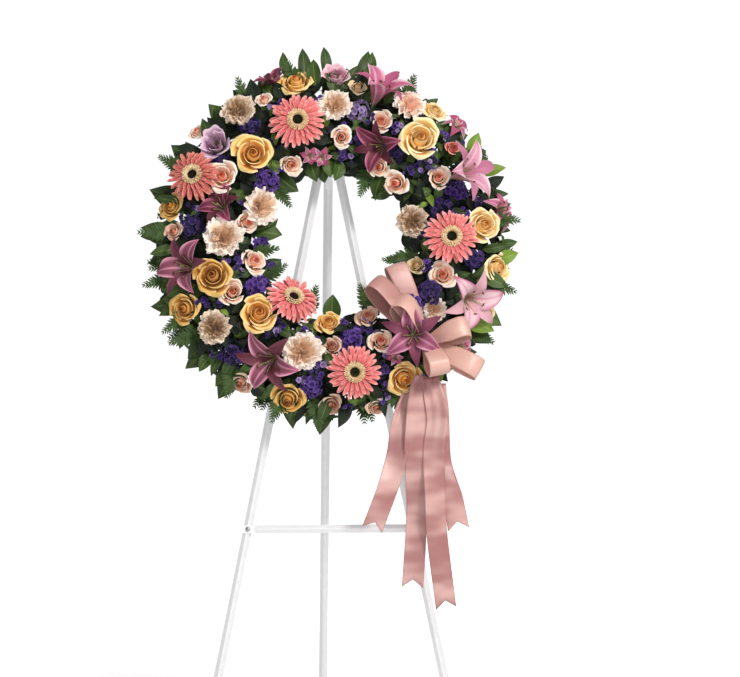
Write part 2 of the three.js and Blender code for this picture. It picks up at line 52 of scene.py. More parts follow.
# Driving dimensions of the wreath, in millimetres in its own plane: x right, y up, z forward
LEAN = radians(9)
TRAY_MIDDLE = 9.7  # from the ring's back to the middle of the tray's depth
RING_RADIUS = 220
STEM_DEPTH = 30
STEM_RADIUS = 2.4
THIN_STEM_RADIUS = 1.7
SMALL_BLOOM = 27  # a bloom of this radius or less has a thin stem
FORK_RISE = 36  # where the heads of a spray part from their stem
CROWN_RISE = 84
CROWN_REACH = 112
INWARD = 0.35
TWIG_RADIUS = 276
LEAF_TIP = 343
FACE_FORWARD = 0.25  # how far a bloom turns from its stem towards the front

# Camera, in metres
CAMERA_DISTANCE = 3.4
CAMERA_X = -0.11
CAMERA_HEIGHT = 0.816
CAMERA_AIM_X = 0.0755
LENS = 89.4

AXES = np.array([
    [1.0, 0.0, 0.0],
    [0.0, sin(LEAN), cos(LEAN)],
    [0.0, -cos(LEAN), sin(LEAN)],
])


def ring_origin():
    low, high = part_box("ring_tray")
    middle = np.array((Vector(low) + Vector(high)) / 2) / MM
    return middle - AXES[2] * TRAY_MIDDLE


ORIGIN = ring_origin()


# Meshes


class Sheaf:
    """The sheets and tubes of one piece, with the marks that its materials read: how far along and across
    its petal a point is, the petal's own chance, and its depth in the bloom. The name seeds the draws."""

    def __init__(self, name):
        self.chance = np.random.default_rng(zlib.crc32(name.encode()))
        self.points = []
        self.faces = []
        self.marks = []
        self.slots = []
        self.total = 0

    def any(self, low=0.0, high=1.0):
        return self.chance.uniform(low, high)

    def jitter(self, spread, count=None):
        return self.chance.normal(0, spread, count)

    def phase(self):
        return self.any(0, 6)

    def sort(self, *shares):
        return int(self.chance.choice(len(shares), p=shares))

    def wave(self, angle):
        return np.sin(angle + self.phase())

    def sheet(self, points, marks, slot=0, wrap=False):
        rows, columns = points.shape[:2]
        index = np.arange(rows * columns).reshape(rows, columns) + self.total
        if wrap:
            index = np.concatenate([index, index[:, :1]], axis=1)
        corners = [index[:-1, :-1], index[:-1, 1:], index[1:, 1:], index[1:, :-1]]
        quads = np.stack(corners, axis=-1).reshape(-1, 4)
        self.points.append(points.reshape(-1, 3))
        self.marks.append(marks.reshape(-1, 4))
        self.faces.append(quads)
        self.slots.append(np.full(len(quads), slot))
        self.total += rows * columns

    def petal(self, points, along, across, depth=None, slot=0):
        """A petal or leaf that draws its own chance, and its depth too where none is given."""
        own = self.any()
        depth = self.any() if depth is None else depth
        self.sheet(points, marks_of(along, across, own, depth), slot)

    def tube(self, path, radii, sides, slot, depth=0.5):
        path = np.asarray(path, float)
        radii = np.broadcast_to(radii, len(path))
        tangent = unit(np.gradient(path, axis=0))
        least = np.argmin(np.abs(tangent.mean(axis=0)))
        side = unit(np.cross(tangent, np.eye(3)[least]))
        other = np.cross(tangent, side)
        angle = np.arange(sides)[:, None] * 2 * pi / sides
        ring = np.cos(angle) * side[:, None] + np.sin(angle) * other[:, None]
        points = path[:, None] + radii[:, None, None] * ring
        self.sheet(points, marks_of(column(len(path)), 0 * angle.T, 0.5, depth), slot, wrap=True)

    def place(self, start, position, axes):
        """Moves what was added since start from its own frame, whose axes are the rows of axes."""
        for index in range(start, len(self.points)):
            self.points[index] = self.points[index] @ axes + position

    def another(self):
        """An empty sheaf whose draws go on from this one's."""
        sheaf = Sheaf("")
        sheaf.chance = self.chance
        return sheaf

    def mesh(self, name, materials, axes=AXES, origin=ORIGIN):
        """A piece of all that was added. Its points are in the wreath's own plane unless told otherwise."""
        points, faces, marks, slots = map(np.concatenate, (self.points, self.faces, self.marks, self.slots))
        mesh = bpy.data.meshes.new(name)
        mesh.from_pydata(((points @ axes + origin) * MM).tolist(), [], faces.tolist())
        attribute = mesh.color_attributes.new("petal", "FLOAT_COLOR", "POINT")
        attribute.data.foreach_set("color", marks.astype(np.float32).ravel())
        for material in materials:
            mesh.materials.append(material)
        mesh.polygons.foreach_set("material_index", slots.astype(np.int32))
        mesh.shade_smooth()
        return add_object(name, mesh)


def add_object(name, data):
    thing = bpy.data.objects.new(name, data)
    bpy.context.scene.collection.objects.link(thing)
    return thing


def marks_of(along, across, chance, depth):
    along, across = np.broadcast_arrays(along, across)
    full = np.ones_like(along, float)
    return np.stack([along, 0.5 + 0.5 * across, chance * full, depth * full], axis=-1)


def column(count):
    return np.linspace(0, 1, count)[:, None]


def row(count):
    return np.linspace(-1, 1, count)[None, :]


def petal_grid(rows, columns, crowd=1.0):
    """along runs 0 to 1 with its rows crowded to the tip, and across runs -1 to 1."""
    along = 1 - (1 - column(rows)) ** crowd
    return [np.array(part) for part in np.broadcast_arrays(along, row(columns))]


def turned(radial, sideways, height, angle):
    """A petal's points, from its radial, sideways and upward measures, turned about the bloom's axis."""
    x = radial * cos(angle) - sideways * sin(angle)
    y = radial * sin(angle) + sideways * cos(angle)
    return np.stack([x, y, height + 0 * x], axis=-1)


def wrapped(radius, angle, height):
    return np.stack([radius * np.cos(angle), radius * np.sin(angle), height + 0 * angle], axis=-1)


def ramp(value, low, high):
    share = np.clip((value - low) / (high - low), 0, 1)
    return share * share * (3 - 2 * share)


def unit(vectors):
    return vectors / np.linalg.norm(vectors, axis=-1, keepdims=True)


# Blooms, each in its own frame with its face up and its face's middle at the origin

PETAL, INNER, EYE, GREEN = range(4)  # slots: petals, inner florets or stamens, eye or anthers, green parts
OWN_SLOTS = 4  # the first slot past these, for other colourings of petals


def strap_ring(
        sheaf, count, start, reach, half_width, rise, droop, offset=0.0, slot=PETAL, depth=1.0, rows=9):
    """A ring of narrow grooved petals, as on a daisy."""
    for index in range(count):
        angle = 2 * pi * (index + offset) / count + sheaf.jitter(0.3 / count)
        along, across = petal_grid(rows, 7, 1.4)
        length = (reach - start) * sheaf.any(0.87, 1.05)
        half = half_width * sheaf.any(0.86, 1.1) * (0.42 + 0.58 * ramp(along, 0, 0.5))
        half = half * np.sqrt(1 - along ** 7 + 1e-6)
        height = rise * (1 + 0.8 * np.sin(2.4 * along)) - droop * sheaf.any(0.1, 1.9) * along ** 2.2
        groove = 0.25 * across ** 2 + 0.2 * np.cos(2 * pi * across)
        height += half * (groove + sheaf.jitter(0.22) * across * along)
        sideways = across * half + sheaf.jitter(0.03) * reach * along ** 2
        points = turned(start + length * along, sideways, height, angle)
        sheaf.petal(points, along, across, depth, slot)


def gerbera(sheaf, size):
    strap_ring(sheaf, 25, 0.24 * size, size, 0.082 * size, 1.0, 0.17 * size)
    strap_ring(sheaf, 20, 0.24 * size, 0.92 * size, 0.076 * size, 3.0, 0.1 * size, 0.5, depth=0.8)
    strap_ring(sheaf, 19, 0.24 * size, 0.66 * size, 0.058 * size, 5.0, 0.05 * size, 0.2, depth=0.45)
    for count, start, reach, rise in [(38, 0.24, 0.4, 5.6), (34, 0.2, 0.34, 6.8), (28, 0.17, 0.28, 7.6)]:
        strap_ring(sheaf, count, start * size, reach * size, 0.024 * size, rise, -1.5, slot=INNER, rows=5)
    for index in range(EYE_FLORETS):
        radius = 0.18 * size * sqrt((index + 0.5) / EYE_FLORETS)
        foot = wrapped(radius, index * GOLDEN_ANGLE, 5.0 - 0.02 * radius ** 2)
        path = foot + np.outer((0, 1.8, 2.6), UP)
        sheaf.tube(path, [0.75, 0.8, 0.15], 5, EYE, depth=(index + 1) / EYE_FLORETS)
    sheaf.tube(np.outer((-10, -8, -3, 1.5), UP), [2.6, 0.15 * size, 0.285 * size, 0.3 * size], 14, GREEN)
    return 10


def rose(sheaf, size, count=15, rows=13, columns=17):
    """A bud of petals that close over each other, then broad petals whose rims roll back."""
    base = -0.78 * size
    for index in range(count):
        depth = index / (count - 1)
        opened = ramp(depth, 0.3, 0.95)
        closed = 1 - ramp(depth, 0.1, 0.55)
        wall = size * (0.11 + 0.58 * depth ** 0.9) * sheaf.any(0.96, 1.04)
        flare = size * 0.3 * opened * sheaf.any(0.85, 1.1)
        top = size * (0.16 + 0.16 * closed - 0.14 * depth + sheaf.jitter(0.012))
        spread = 1.45 - 0.6 * depth + sheaf.jitter(0.05)
        along, across = petal_grid(rows, columns)
        point = 1 + (0.02 + 0.06 * opened) * np.exp(-((across / 0.25) ** 2))
        reach = along * (1 - (0.08 + 0.08 * opened) * np.abs(across) ** 2.6) * point
        ends = [
            [0.2 * wall, base],
            [1.3 * wall, base + 0.1 * size],
            [1.08 * wall, top + size * (0.1 * opened - 0.12 * (1 - opened))],
            [(1 - 0.5 * closed) * wall + flare, top - 0.15 * size * opened],
        ]
        radius, height = profile(ends, reach)
        rolled = ramp(reach, 0.6, 1.0)
        lip = ramp(reach, 0.88, 1.02) * (1 - closed)
        wave = 0.03 * size * (0.3 + opened) * sheaf.wave(2.4 * pi * across) * rolled
        radius = radius + 0.14 * wall * across * along + 0.5 * wave + 0.04 * size * lip
        sag = 0.07 * size * opened * np.abs(across) ** 3 * rolled
        height = height - sag + wave - 0.05 * size * lip
        width = spread * (0.35 + 0.65 * np.sin(pi / 2 * np.clip(along / 0.55, 0, 1)))
        angle = index * GOLDEN_ANGLE + sheaf.jitter(0.1)
        sheaf.petal(wrapped(radius, angle + across * width, height), along, across, depth)
    sepals(sheaf, 0.42 * size, base, 0.5 * size)
    return -base


def spray_rose(sheaf, size):
    return rose(sheaf, size, count=12, rows=11, columns=15)


def lisianthus(sheaf, size):
    """Broad, smooth petals in a loose cup."""
    count = 9
    for index in range(count):
        depth = index / (count - 1)
        along, across = petal_grid(10, 13)
        reach = along * (1 - 0.2 * np.abs(across) ** 2.4)
        wall = size * (0.24 + 0.42 * depth)
        flare = size * 0.34 * ramp(depth, 0.1, 0.8)
        ends = [
            [0.2 * wall, -0.85 * size],
            [1.2 * wall, -0.7 * size],
            [wall, 0.18 * size * (1 - depth)],
            [wall + flare, (0.06 - 0.1 * depth) * size],
        ]
        radius, height = profile(ends, reach)
        wave = 0.05 * size * sheaf.wave(2.2 * pi * across) * ramp(reach, 0.5, 1)
        spread = (1.1 - 0.32 * depth) * (0.3 + 0.7 * np.sin(pi / 2 * np.clip(along / 0.6, 0, 1)))
        points = wrapped(radius + wave, index * GOLDEN_ANGLE + across * spread, height + wave)
        sheaf.petal(points, along, across, depth)
    for index in range(count):
        foot = wrapped(2.5, index * GOLDEN_ANGLE, -0.6 * size)
        sheaf.tube([foot, foot * [2.2, 2.2, 0.6], foot * [2.6, 2.6, 0.45]], [0.5, 0.9, 0.3], 5, INNER)
    sepals(sheaf, 0.4 * size, -0.85 * size, 0.5 * size)
    return 0.85 * size


def carnation(sheaf, size, count=30):
    """Fans with a toothed, ruffled edge, packed into a dome."""
    for index in range(count):
        depth = index / (count - 1)
        swing = radians(98 * depth ** 0.6 + sheaf.jitter(7))
        ends = [
            [0.0, -0.5 * size],
            [0.3 * size * sin(swing), -0.06 * size],
            [size * sin(swing) * sheaf.any(0.8, 1.0), 0.38 * size * cos(swing)],
        ]
        along, across = petal_grid(8, 23)
        teeth = 0.05 * np.abs((across * 7 + sheaf.any()) % 2 - 1) * ramp(along, 0.75, 1)
        reach = along * (1 - 0.2 * across ** 2) * (1 + 0.08 * sheaf.wave(5 * across)) + teeth
        radial, height = profile(ends, reach)
        ruffle = 0.15 * along ** 1.6 * sheaf.wave(sheaf.any(1.6, 2.8) * pi * across)
        ruffle = size * (ruffle + 0.045 * along ** 2 * sheaf.wave(8 * across))
        half = size * sheaf.any(0.42, 0.6) * along ** 0.8
        angle = index * GOLDEN_ANGLE + sheaf.jitter(0.25)
        points = turned(radial - ruffle * cos(swing), across * half, height + ruffle * sin(swing), angle)
        sheaf.petal(points, along, across, depth)
    foot = 0.5 * size + 24
    cup = np.outer((-foot, 4 - foot, 20 - foot, -0.35 * size), UP)
    sheaf.tube(cup, [2.5, 5.5, 6.5, 9], 10, INNER)
    return foot


def curve(ends, share):
    """Points of the Bezier curve whose ends, and controls between them, are given."""
    order = len(ends) - 1
    share = share[..., None]
    return sum(comb(order, step) * share ** step * (1 - share) ** (order - step) * np.asarray(end, float)
               for step, end in enumerate(ends))


def profile(ends, share):
    """Radius and height along a petal's curve."""
    return np.moveaxis(curve(ends, share), -1, 0)


def tepal(sheaf, size, angle, half_width, lift, curl, depth, cup=0.0):
    """A lily's petal: it rises from the throat, opens out, and curls back at its pointed tip."""
    along, across = petal_grid(20, 9, 1.2)
    half = half_width * (0.12 * (1 - along) + np.sin(pi * along ** 0.74) ** 0.9) + 0.1
    ends = [
        [0.04 * size, -0.46 * size],
        [0.2 * size, (0.1 + 0.4 * lift) * size],
        [(0.72 - 0.1 * cup) * size, (lift - 0.26 + 0.3 * cup) * size],
        [(1.06 - 0.1 * cup) * size, (cup - 0.16 - curl) * size],
    ]
    radial, height = profile(ends, along)
    height = height + half * (0.6 - 0.45 * along) * across ** 2
    height += 0.04 * size * sheaf.any(0.5, 1.3) * across * sheaf.wave(5 * along) * along
    height += 0.025 * size * sheaf.wave(9 * along) * across ** 2 * along
    height -= 0.02 * size * np.exp(-((across / 0.12) ** 2)) * (1 - along)
    sideways = across * half + 0.07 * size * sheaf.jitter(1) * along ** 2
    sheaf.petal(turned(radial, sideways, height, angle), along, across, depth)


def lily(sheaf, size, cup=0.0):
    """Six petals round stamens and a style. A cup of 0 is a flat star, and 1 is a half-open trumpet."""
    for index in range(6):
        inner = index % 2
        angle = index * pi / 3 + sheaf.jitter(0.07)
        width = size * (0.27 if inner else 0.19) * sheaf.any(0.92, 1.08)
        reach = size * sheaf.any(0.94, 1.04)
        tepal(sheaf, reach, angle, width, 0.62 if inner else 0.56, sheaf.any(0.04, 0.2), inner, cup)
    for index in range(6):
        angle = (index + 0.5) * pi / 3
        reach = size * sheaf.any(0.28, 0.38)
        share = np.array([0.05, 0.4, 0.75, 1])
        path = wrapped(reach * share, angle, size * (0.66 * share ** 0.8 - 0.42))
        sheaf.tube(path, [0.8, 0.7, 0.6, 0.4], 5, INNER)
        anther = path[-1] + np.outer((-1, -0.5, 0.5, 1), 3.4 * np.array([-sin(angle), cos(angle), 0.25]))
        sheaf.tube(anther, [0.4, 1.3, 1.3, 0.4], 6, EYE)
    style = size * np.outer((-0.42, 0, 0.26, 0.3), UP)
    sheaf.tube(style, [1.2, 0.9, 1.1, 2.0], 6, INNER)
    funnel = size * np.outer((-0.75, -0.62, -0.5, -0.44), UP)
    sheaf.tube(funnel, [2.2, 0.04 * size, 0.05 * size, 0.045 * size], 8, GREEN)
    return 0.7 * size


def alstroemeria(sheaf, size):
    for index in range(6):
        inner = index % 2
        tepal(sheaf, size, index * pi / 3, size * (0.24 if inner else 0.36), 0.85, 0.0, inner)
    for index in range(5):
        share = np.array([0.1, 0.6, 1])
        path = wrapped(0.3 * size * share, index * GOLDEN_ANGLE, size * (0.6 * share - 0.3))
        sheaf.tube(path, [0.4, 0.4, 0.8], 5, INNER)
    return 0.5 * size


def floret(sheaf, size, centre, axis):
    """One small flower of a cluster: five rounded, ruffled petals."""
    start = len(sheaf.points)
    turn = sheaf.phase()
    for index in range(5):
        along, across = petal_grid(4, 5)
        half = size * 0.56 * np.sin(pi * (0.12 + 0.83 * along) ** 1.1) ** 0.6
        height = size * (0.5 * along - 0.25 * along ** 3 + 0.16 * across ** 2 * along)
        height += size * 0.16 * sheaf.wave(4 * across) * along ** 2
        points = turned(size * (0.05 + 0.95 * along), across * half, height, turn + index * 2 * pi / 5)
        sheaf.petal(points, along, across)
    sheaf.place(start, centre, basis(axis))


def cluster(sheaf, size):
    """Florets crowded on a dome, as on statice or stock."""
    count = int(12 + size * 0.7)
    for index in range(count):
        share = (index + 0.5) / count
        swing = acos(1 - 1.15 * share)
        axis = wrapped(sin(swing), index * GOLDEN_ANGLE, cos(swing))
        centre = axis * size * sheaf.any(0.6, 0.95) - 0.55 * size * UP
        floret(sheaf, sheaf.any(6.0, 8.5), centre, unit(axis + sheaf.jitter(0.3, 3)))
        sheaf.tube([-size * UP, 0.5 * centre - 0.4 * size * UP, centre], [0.8, 0.6, 0.5], 4, INNER)
    return size


def sepals(sheaf, size, height, length):
    """The green hip under a bloom, with its five pointed sepals."""
    hip = np.outer([height + step for step in (-7, -3, 2, 6)], UP)
    sheaf.tube(hip, [2, 0.22 * size + 2, 0.32 * size + 2, 0.4 * size], 8, GREEN)
    for index in range(5):
        along, across = petal_grid(6, 3)
        half = 0.2 * length * np.sin(pi * (0.2 + 0.8 * along)) + 0.1
        radial = 0.3 * size + 0.75 * length * along
        rise = height + 3 + length * (0.75 * along ** 1.3 - 0.5 * along ** 3)
        points = turned(radial, across * half, rise, index * 2 * pi / 5 + sheaf.jitter(0.1))
        sheaf.petal(points, along, across, 1, GREEN)


# Greenery, each in its own frame: along x, its upper face to z

LEAF_FOLD = 0.22
LEAF_DROOP = 0.18
FERN_PAIRS = 11


def leaf(sheaf, length, width, slot):
    """A pointed leaf, folded along its midrib."""
    along, across = petal_grid(11, 7)
    half = 0.5 * width * np.sin(pi * along ** 0.85) ** 0.78 * (1 - 0.22 * ramp(along, 0.75, 1)) + 0.2
    height = length * (0.10 * np.sin(pi * along) - LEAF_DROOP * along ** 2.2)
    height += LEAF_FOLD * half * (np.abs(across) ** 1.3 - 0.25)
    height += 0.025 * length * sheaf.wave(9 * along + 2.5 * across) * np.abs(across)
    bend = sheaf.jitter(0.07) * length
    points = np.stack([length * along, across * half + bend * along ** 2, height], axis=-1)
    sheaf.petal(points, along, across, slot=slot)


def fern(sheaf, length, slot):
    """A frond of leatherleaf: toothed leaflets in pairs that shorten to the tip."""
    def spine(share):
        return length * np.stack([share, 0.06 * np.sin(2 * share), 0.10 * np.sin(2.2 * share)], axis=-1)

    sheaf.tube(spine(np.linspace(0, 0.98, 7)), np.linspace(0.9, 0.25, 7), 4, slot)
    for index in range(2 * FERN_PAIRS):
        share = 0.12 + 0.86 * (index // 2) / FERN_PAIRS
        side = 1 if index % 2 else -1
        reach = 0.36 * length * (1 - share) ** 0.8 * ramp(share, -0.25, 0.3) + 3
        start = len(sheaf.points)
        along, across = petal_grid(11, 3)
        teeth = 0.62 + 0.38 * np.abs(np.sin(along * pi * 4))
        half = 0.24 * reach * (1 - along) ** 0.6 * teeth + 0.12
        height = reach * (0.12 * np.sin(2 * along) + 0.3 * (half / reach) * np.abs(across))
        points = np.stack([reach * along, across * half, height], axis=-1)
        sheaf.petal(points, along, across, share, slot)
        swing = side * radians(62 - 26 * share + sheaf.jitter(4))
        heading = np.array([cos(swing), sin(swing), sheaf.jitter(0.12)])
        sheaf.place(start, spine(share), heading_axes(heading, UP))


def heading_axes(heading, upper):
    """Rows: along heading, sideways, and as near upper as the heading allows."""
    heading = unit(np.asarray(heading, float))
    sideways = unit(np.cross(upper, heading))
    return np.array([heading, sideways, np.cross(heading, sideways)])


def basis(axis, spin=0.0):
    axis = unit(axis)
    first = unit(np.cross([0.02, 1, 0.03], axis))
    second = np.cross(axis, first)
    return np.array([
        cos(spin) * first + sin(spin) * second,
        cos(spin) * second - sin(spin) * first,
        axis,
    ])


# Places on the ring


def outward(clock, radius=1.0, rise=0.0):
    """The place at an angle and a radius on the ring, or the way there."""
    return np.array([radius * cos(radians(clock)), radius * sin(radians(clock)), rise])


def facing(clock, radius, lift):
    """Where a bloom's stem ends in the foam, where its face is, and the way from one to the other."""
    offset = (radius - RING_RADIUS) / CROWN_REACH
    rise = CROWN_RISE * sqrt(max(0.02, 1 - offset * offset)) + lift
    end = outward(clock, RING_RADIUS + INWARD * (radius - RING_RADIUS), STEM_DEPTH)
    face = outward(clock, radius, STEM_DEPTH + rise)
    return end, face, unit(face - end)


# Materials


def linear(colour):
    def channel(value):
        value /= 255
        return value / 12.92 if value <= 0.04045 else ((value + 0.055) / 1.055) ** 2.4

    return (*(channel(value) for value in colour), 1.0)


class Value:
    """A socket of a material's node tree. Arithmetic with it adds the nodes that work the sum out."""

    def __init__(self, shader, socket):
        self.shader = shader
        self.socket = socket

    def maths(self, operation, other=0.5):
        return self.shader.maths(operation, self, other)

    def __add__(self, other):
        return self.maths("ADD", other)

    def __mul__(self, other):
        return self.maths("MULTIPLY", other)

    def __sub__(self, other):
        return self.maths("SUBTRACT", other)

    def __rsub__(self, other):
        return self.shader.maths("SUBTRACT", other, self)

    def spread(self, low, high):
        """0 up to low, 1 from high on, and smooth between them."""
        inputs = {0: self, 1: low, 2: high}
        return self.shader.node("ShaderNodeMapRange", inputs, interpolation_type="SMOOTHSTEP")


class Shader:
    """A material's node tree, written as nested calls."""

    def __init__(self, name, **settings):
        self.material = bpy.data.materials.new(name)
        self.material.use_nodes = True
        self.tree = self.material.node_tree
        self.surface = self.tree.nodes["Principled BSDF"]
        for socket, value in settings.items():
            self.surface.inputs[socket.replace("_", " ")].default_value = value

    def node(self, kind, inputs=(), output=0, **settings):
        node = self.tree.nodes.new(kind)
        for key, value in settings.items():
            setattr(node, key, value)
        for key, value in dict(inputs).items():
            if isinstance(value, Value):
                self.tree.links.new(value.socket, node.inputs[key])
            else:
                node.inputs[key].default_value = value
        return Value(self, node.outputs[output])

    def maths(self, operation, first, second):
        return self.node("ShaderNodeMath", {0: first, 1: second}, operation=operation)

    def mix(self, share, first, second, blend="MIX"):
        """first and second are colours of 0 to 255, or values."""
        first, second = [linear(side) if isinstance(side, tuple) else side for side in (first, second)]
        inputs = {0: share, 6: first, 7: second}
        return self.node("ShaderNodeMix", inputs, 2, data_type="RGBA", blend_type=blend)

    def noise(self, size, detail, stretch=(1, 1, 1)):
        """Noise whose features are about size millimetres across."""
        place = self.node("ShaderNodeTexCoord", output="Object")
        scaled = self.node("ShaderNodeMapping", {"Vector": place, "Scale": stretch})
        inputs = {"Vector": scaled, "Scale": 1 / (size * MM), "Detail": detail, "Roughness": 0.55}
        return self.node("ShaderNodeTexNoise", inputs, "Fac")

    def marks(self):
        """How far a point is along its petal, across it, and from its middle line to a side edge,
        then the petal's chance and its depth in the bloom."""
        colour = self.node("ShaderNodeAttribute", output="Color", attribute_name="petal")
        parts = self.node("ShaderNodeSeparateColor", {0: colour}).socket.node.outputs
        along, across, chance = [Value(self, part) for part in parts[:3]]
        side = ((across - 0.5) * 2.0).maths("ABSOLUTE")
        return along, across, side, chance, Value(self, colour.socket.node.outputs["Alpha"])

    def bump(self, height, depth, strength):
        """depth is in millimetres."""
        return self.node("ShaderNodeBump", {"Height": height, "Distance": depth * MM, "Strength": strength})

    def finish(self, **inputs):
        for name, value in inputs.items():
            self.tree.links.new(value.socket, self.surface.inputs[name.replace("_", " ")])
        return self.material


def petal_material(name, heart, root, body, rim, edge, veins, reach, freckles, rib):
    """Colours run from the petal's root to its rim and to its side edges; heart tints the bloom's middle.
    A little emission stands for the light that thin petals let through."""
    shader = Shader(name, Roughness=0.5, Sheen_Weight=0.12, Sheen_Roughness=0.4, Specular_IOR_Level=0.3,
                    Emission_Strength=PETAL_GLOW)
    along, across, side, chance, depth = shader.marks()
    patchy = shader.noise(5, 4)
    shifted = along + (patchy - 0.5) * 0.2
    colour = shader.mix(shifted.spread(0.08, reach), root, body)
    colour = shader.mix(shifted.spread(0.72, 1.0), colour, rim)
    colour = shader.mix(side.spread(0.55, 1.0) * along.spread(0.15, 0.6), colour, edge)
    if rib:
        colour = shader.mix((1.0 - side.spread(0.03, 0.2)) * rib, colour, edge)
    colour = shader.mix((1.0 - depth.spread(0.05, 0.5)) * 0.95, colour, heart)
    wave = (across * (veins * TURN)).maths("SINE")
    tone = wave * (1.15 - along) * 0.035 + chance * 0.12 + patchy * 0.16 + 0.86
    grey = shader.node("ShaderNodeCombineColor", {0: tone, 1: tone, 2: tone})
    colour = shader.mix(1.0, colour, grey, "MULTIPLY")
    if freckles:
        spots = shader.noise(1.6, 1).maths("LESS_THAN", 0.36)
        colour = shader.mix(spots * (1.0 - along.spread(0.25, 0.7)) * freckles, colour, FRECKLE)
    normal = shader.bump(wave + shader.noise(1.4, 2) * 1.5, 0.12, 0.6)
    return shader.finish(Base_Color=colour, Emission_Color=colour, Normal=normal)


def leaf_material(name, shade, light, vein, gloss=0.42, blades=16):
    shader = Shader(name, Sheen_Weight=0.0, Specular_IOR_Level=0.4)
    along, _, side, chance, _ = shader.marks()
    colour = shader.mix((chance + shader.noise(12, 4)) * 0.5, shade, light)
    ribs = ((along - side * 0.3) * (blades * TURN)).maths("SINE").spread(0.72, 1.0)
    lines = (ribs * 0.35).maths("MAXIMUM", 1.0 - side.spread(0.0, 0.14))
    colour = shader.mix(lines * 0.55, colour, vein)
    rough = shader.noise(3, 3) * 0.2 + gloss
    normal = shader.bump(lines + shader.noise(2, 3) * 0.5, 0.35, 0.7)
    return shader.finish(Base_Color=colour, Roughness=rough, Normal=normal)


def grain_material(name, dark, light, grain, depth, roughness, metallic=0.0, stretch=(1, 1, 1), glow=0.0):
    """A plain finish with fine grain: paint, plastic, foam, zinc, wood or pollen. glow is emission in the
    light colour, a painted glow.
    """
    shader = Shader(name, Metallic=metallic, Emission_Strength=glow, Emission_Color=linear(light))
    broad = shader.noise(grain * 14, 4, stretch)
    fine = shader.noise(grain, 3, stretch)
    colour = shader.mix(((broad + fine) * 0.5).spread(0.3, 0.7), dark, light)
    rough = broad * 0.16 + (roughness - 0.08)
    return shader.finish(Base_Color=colour, Roughness=rough, Normal=shader.bump(fine, depth, 0.5))


def satin_material():
    """Woven satin: fine threads along and across, a soft sheen, selvedges along both sides, and painted light
    and shade in broad bands and a pale tint.
    """
    shader = Shader("satin_ribbon", Roughness=0.29, Sheen_Weight=0.3, Sheen_Roughness=0.3,
                    Specular_IOR_Level=0.6, Anisotropic=0.5)
    along, across, side, _, depth = shader.marks()
    # Painted light and shade: broad noise bands between a shaded and a lit satin colour
    broad = shader.noise(70, 2, (0.5, 0.5, 1.2)).spread(0.38, 0.62)
    colour = shader.mix(broad, (176, 120, 118), (222, 178, 172))
    # Painted light: pieces with a higher depth mark take more of this pale tint, so the bow's front loops
    # read lit and the first two loops darker
    colour = shader.mix(depth * 0.8, colour, (238, 192, 176))
    hem = side.spread(0.93, 0.97)
    colour = shader.mix(hem * 0.5, colour, (196, 128, 124))
    warp = (across * (120 * TURN)).maths("SINE")
    weft = (along * (900 * TURN)).maths("SINE")
    normal = shader.bump(warp * 0.6 + weft * 0.4 + hem * 2.0, 0.05, 0.5)
    return shader.finish(Base_Color=colour, Normal=normal)


TURN = 6.28  # radians
PETAL_GLOW = 0.06
FRECKLE = (95, 20, 50)
FRECKLED = ("lily_blush", "lily_pale", "alstroemeria")
DARK_LILIES = ("lily_deep", "lily_dark", "lily_plum")

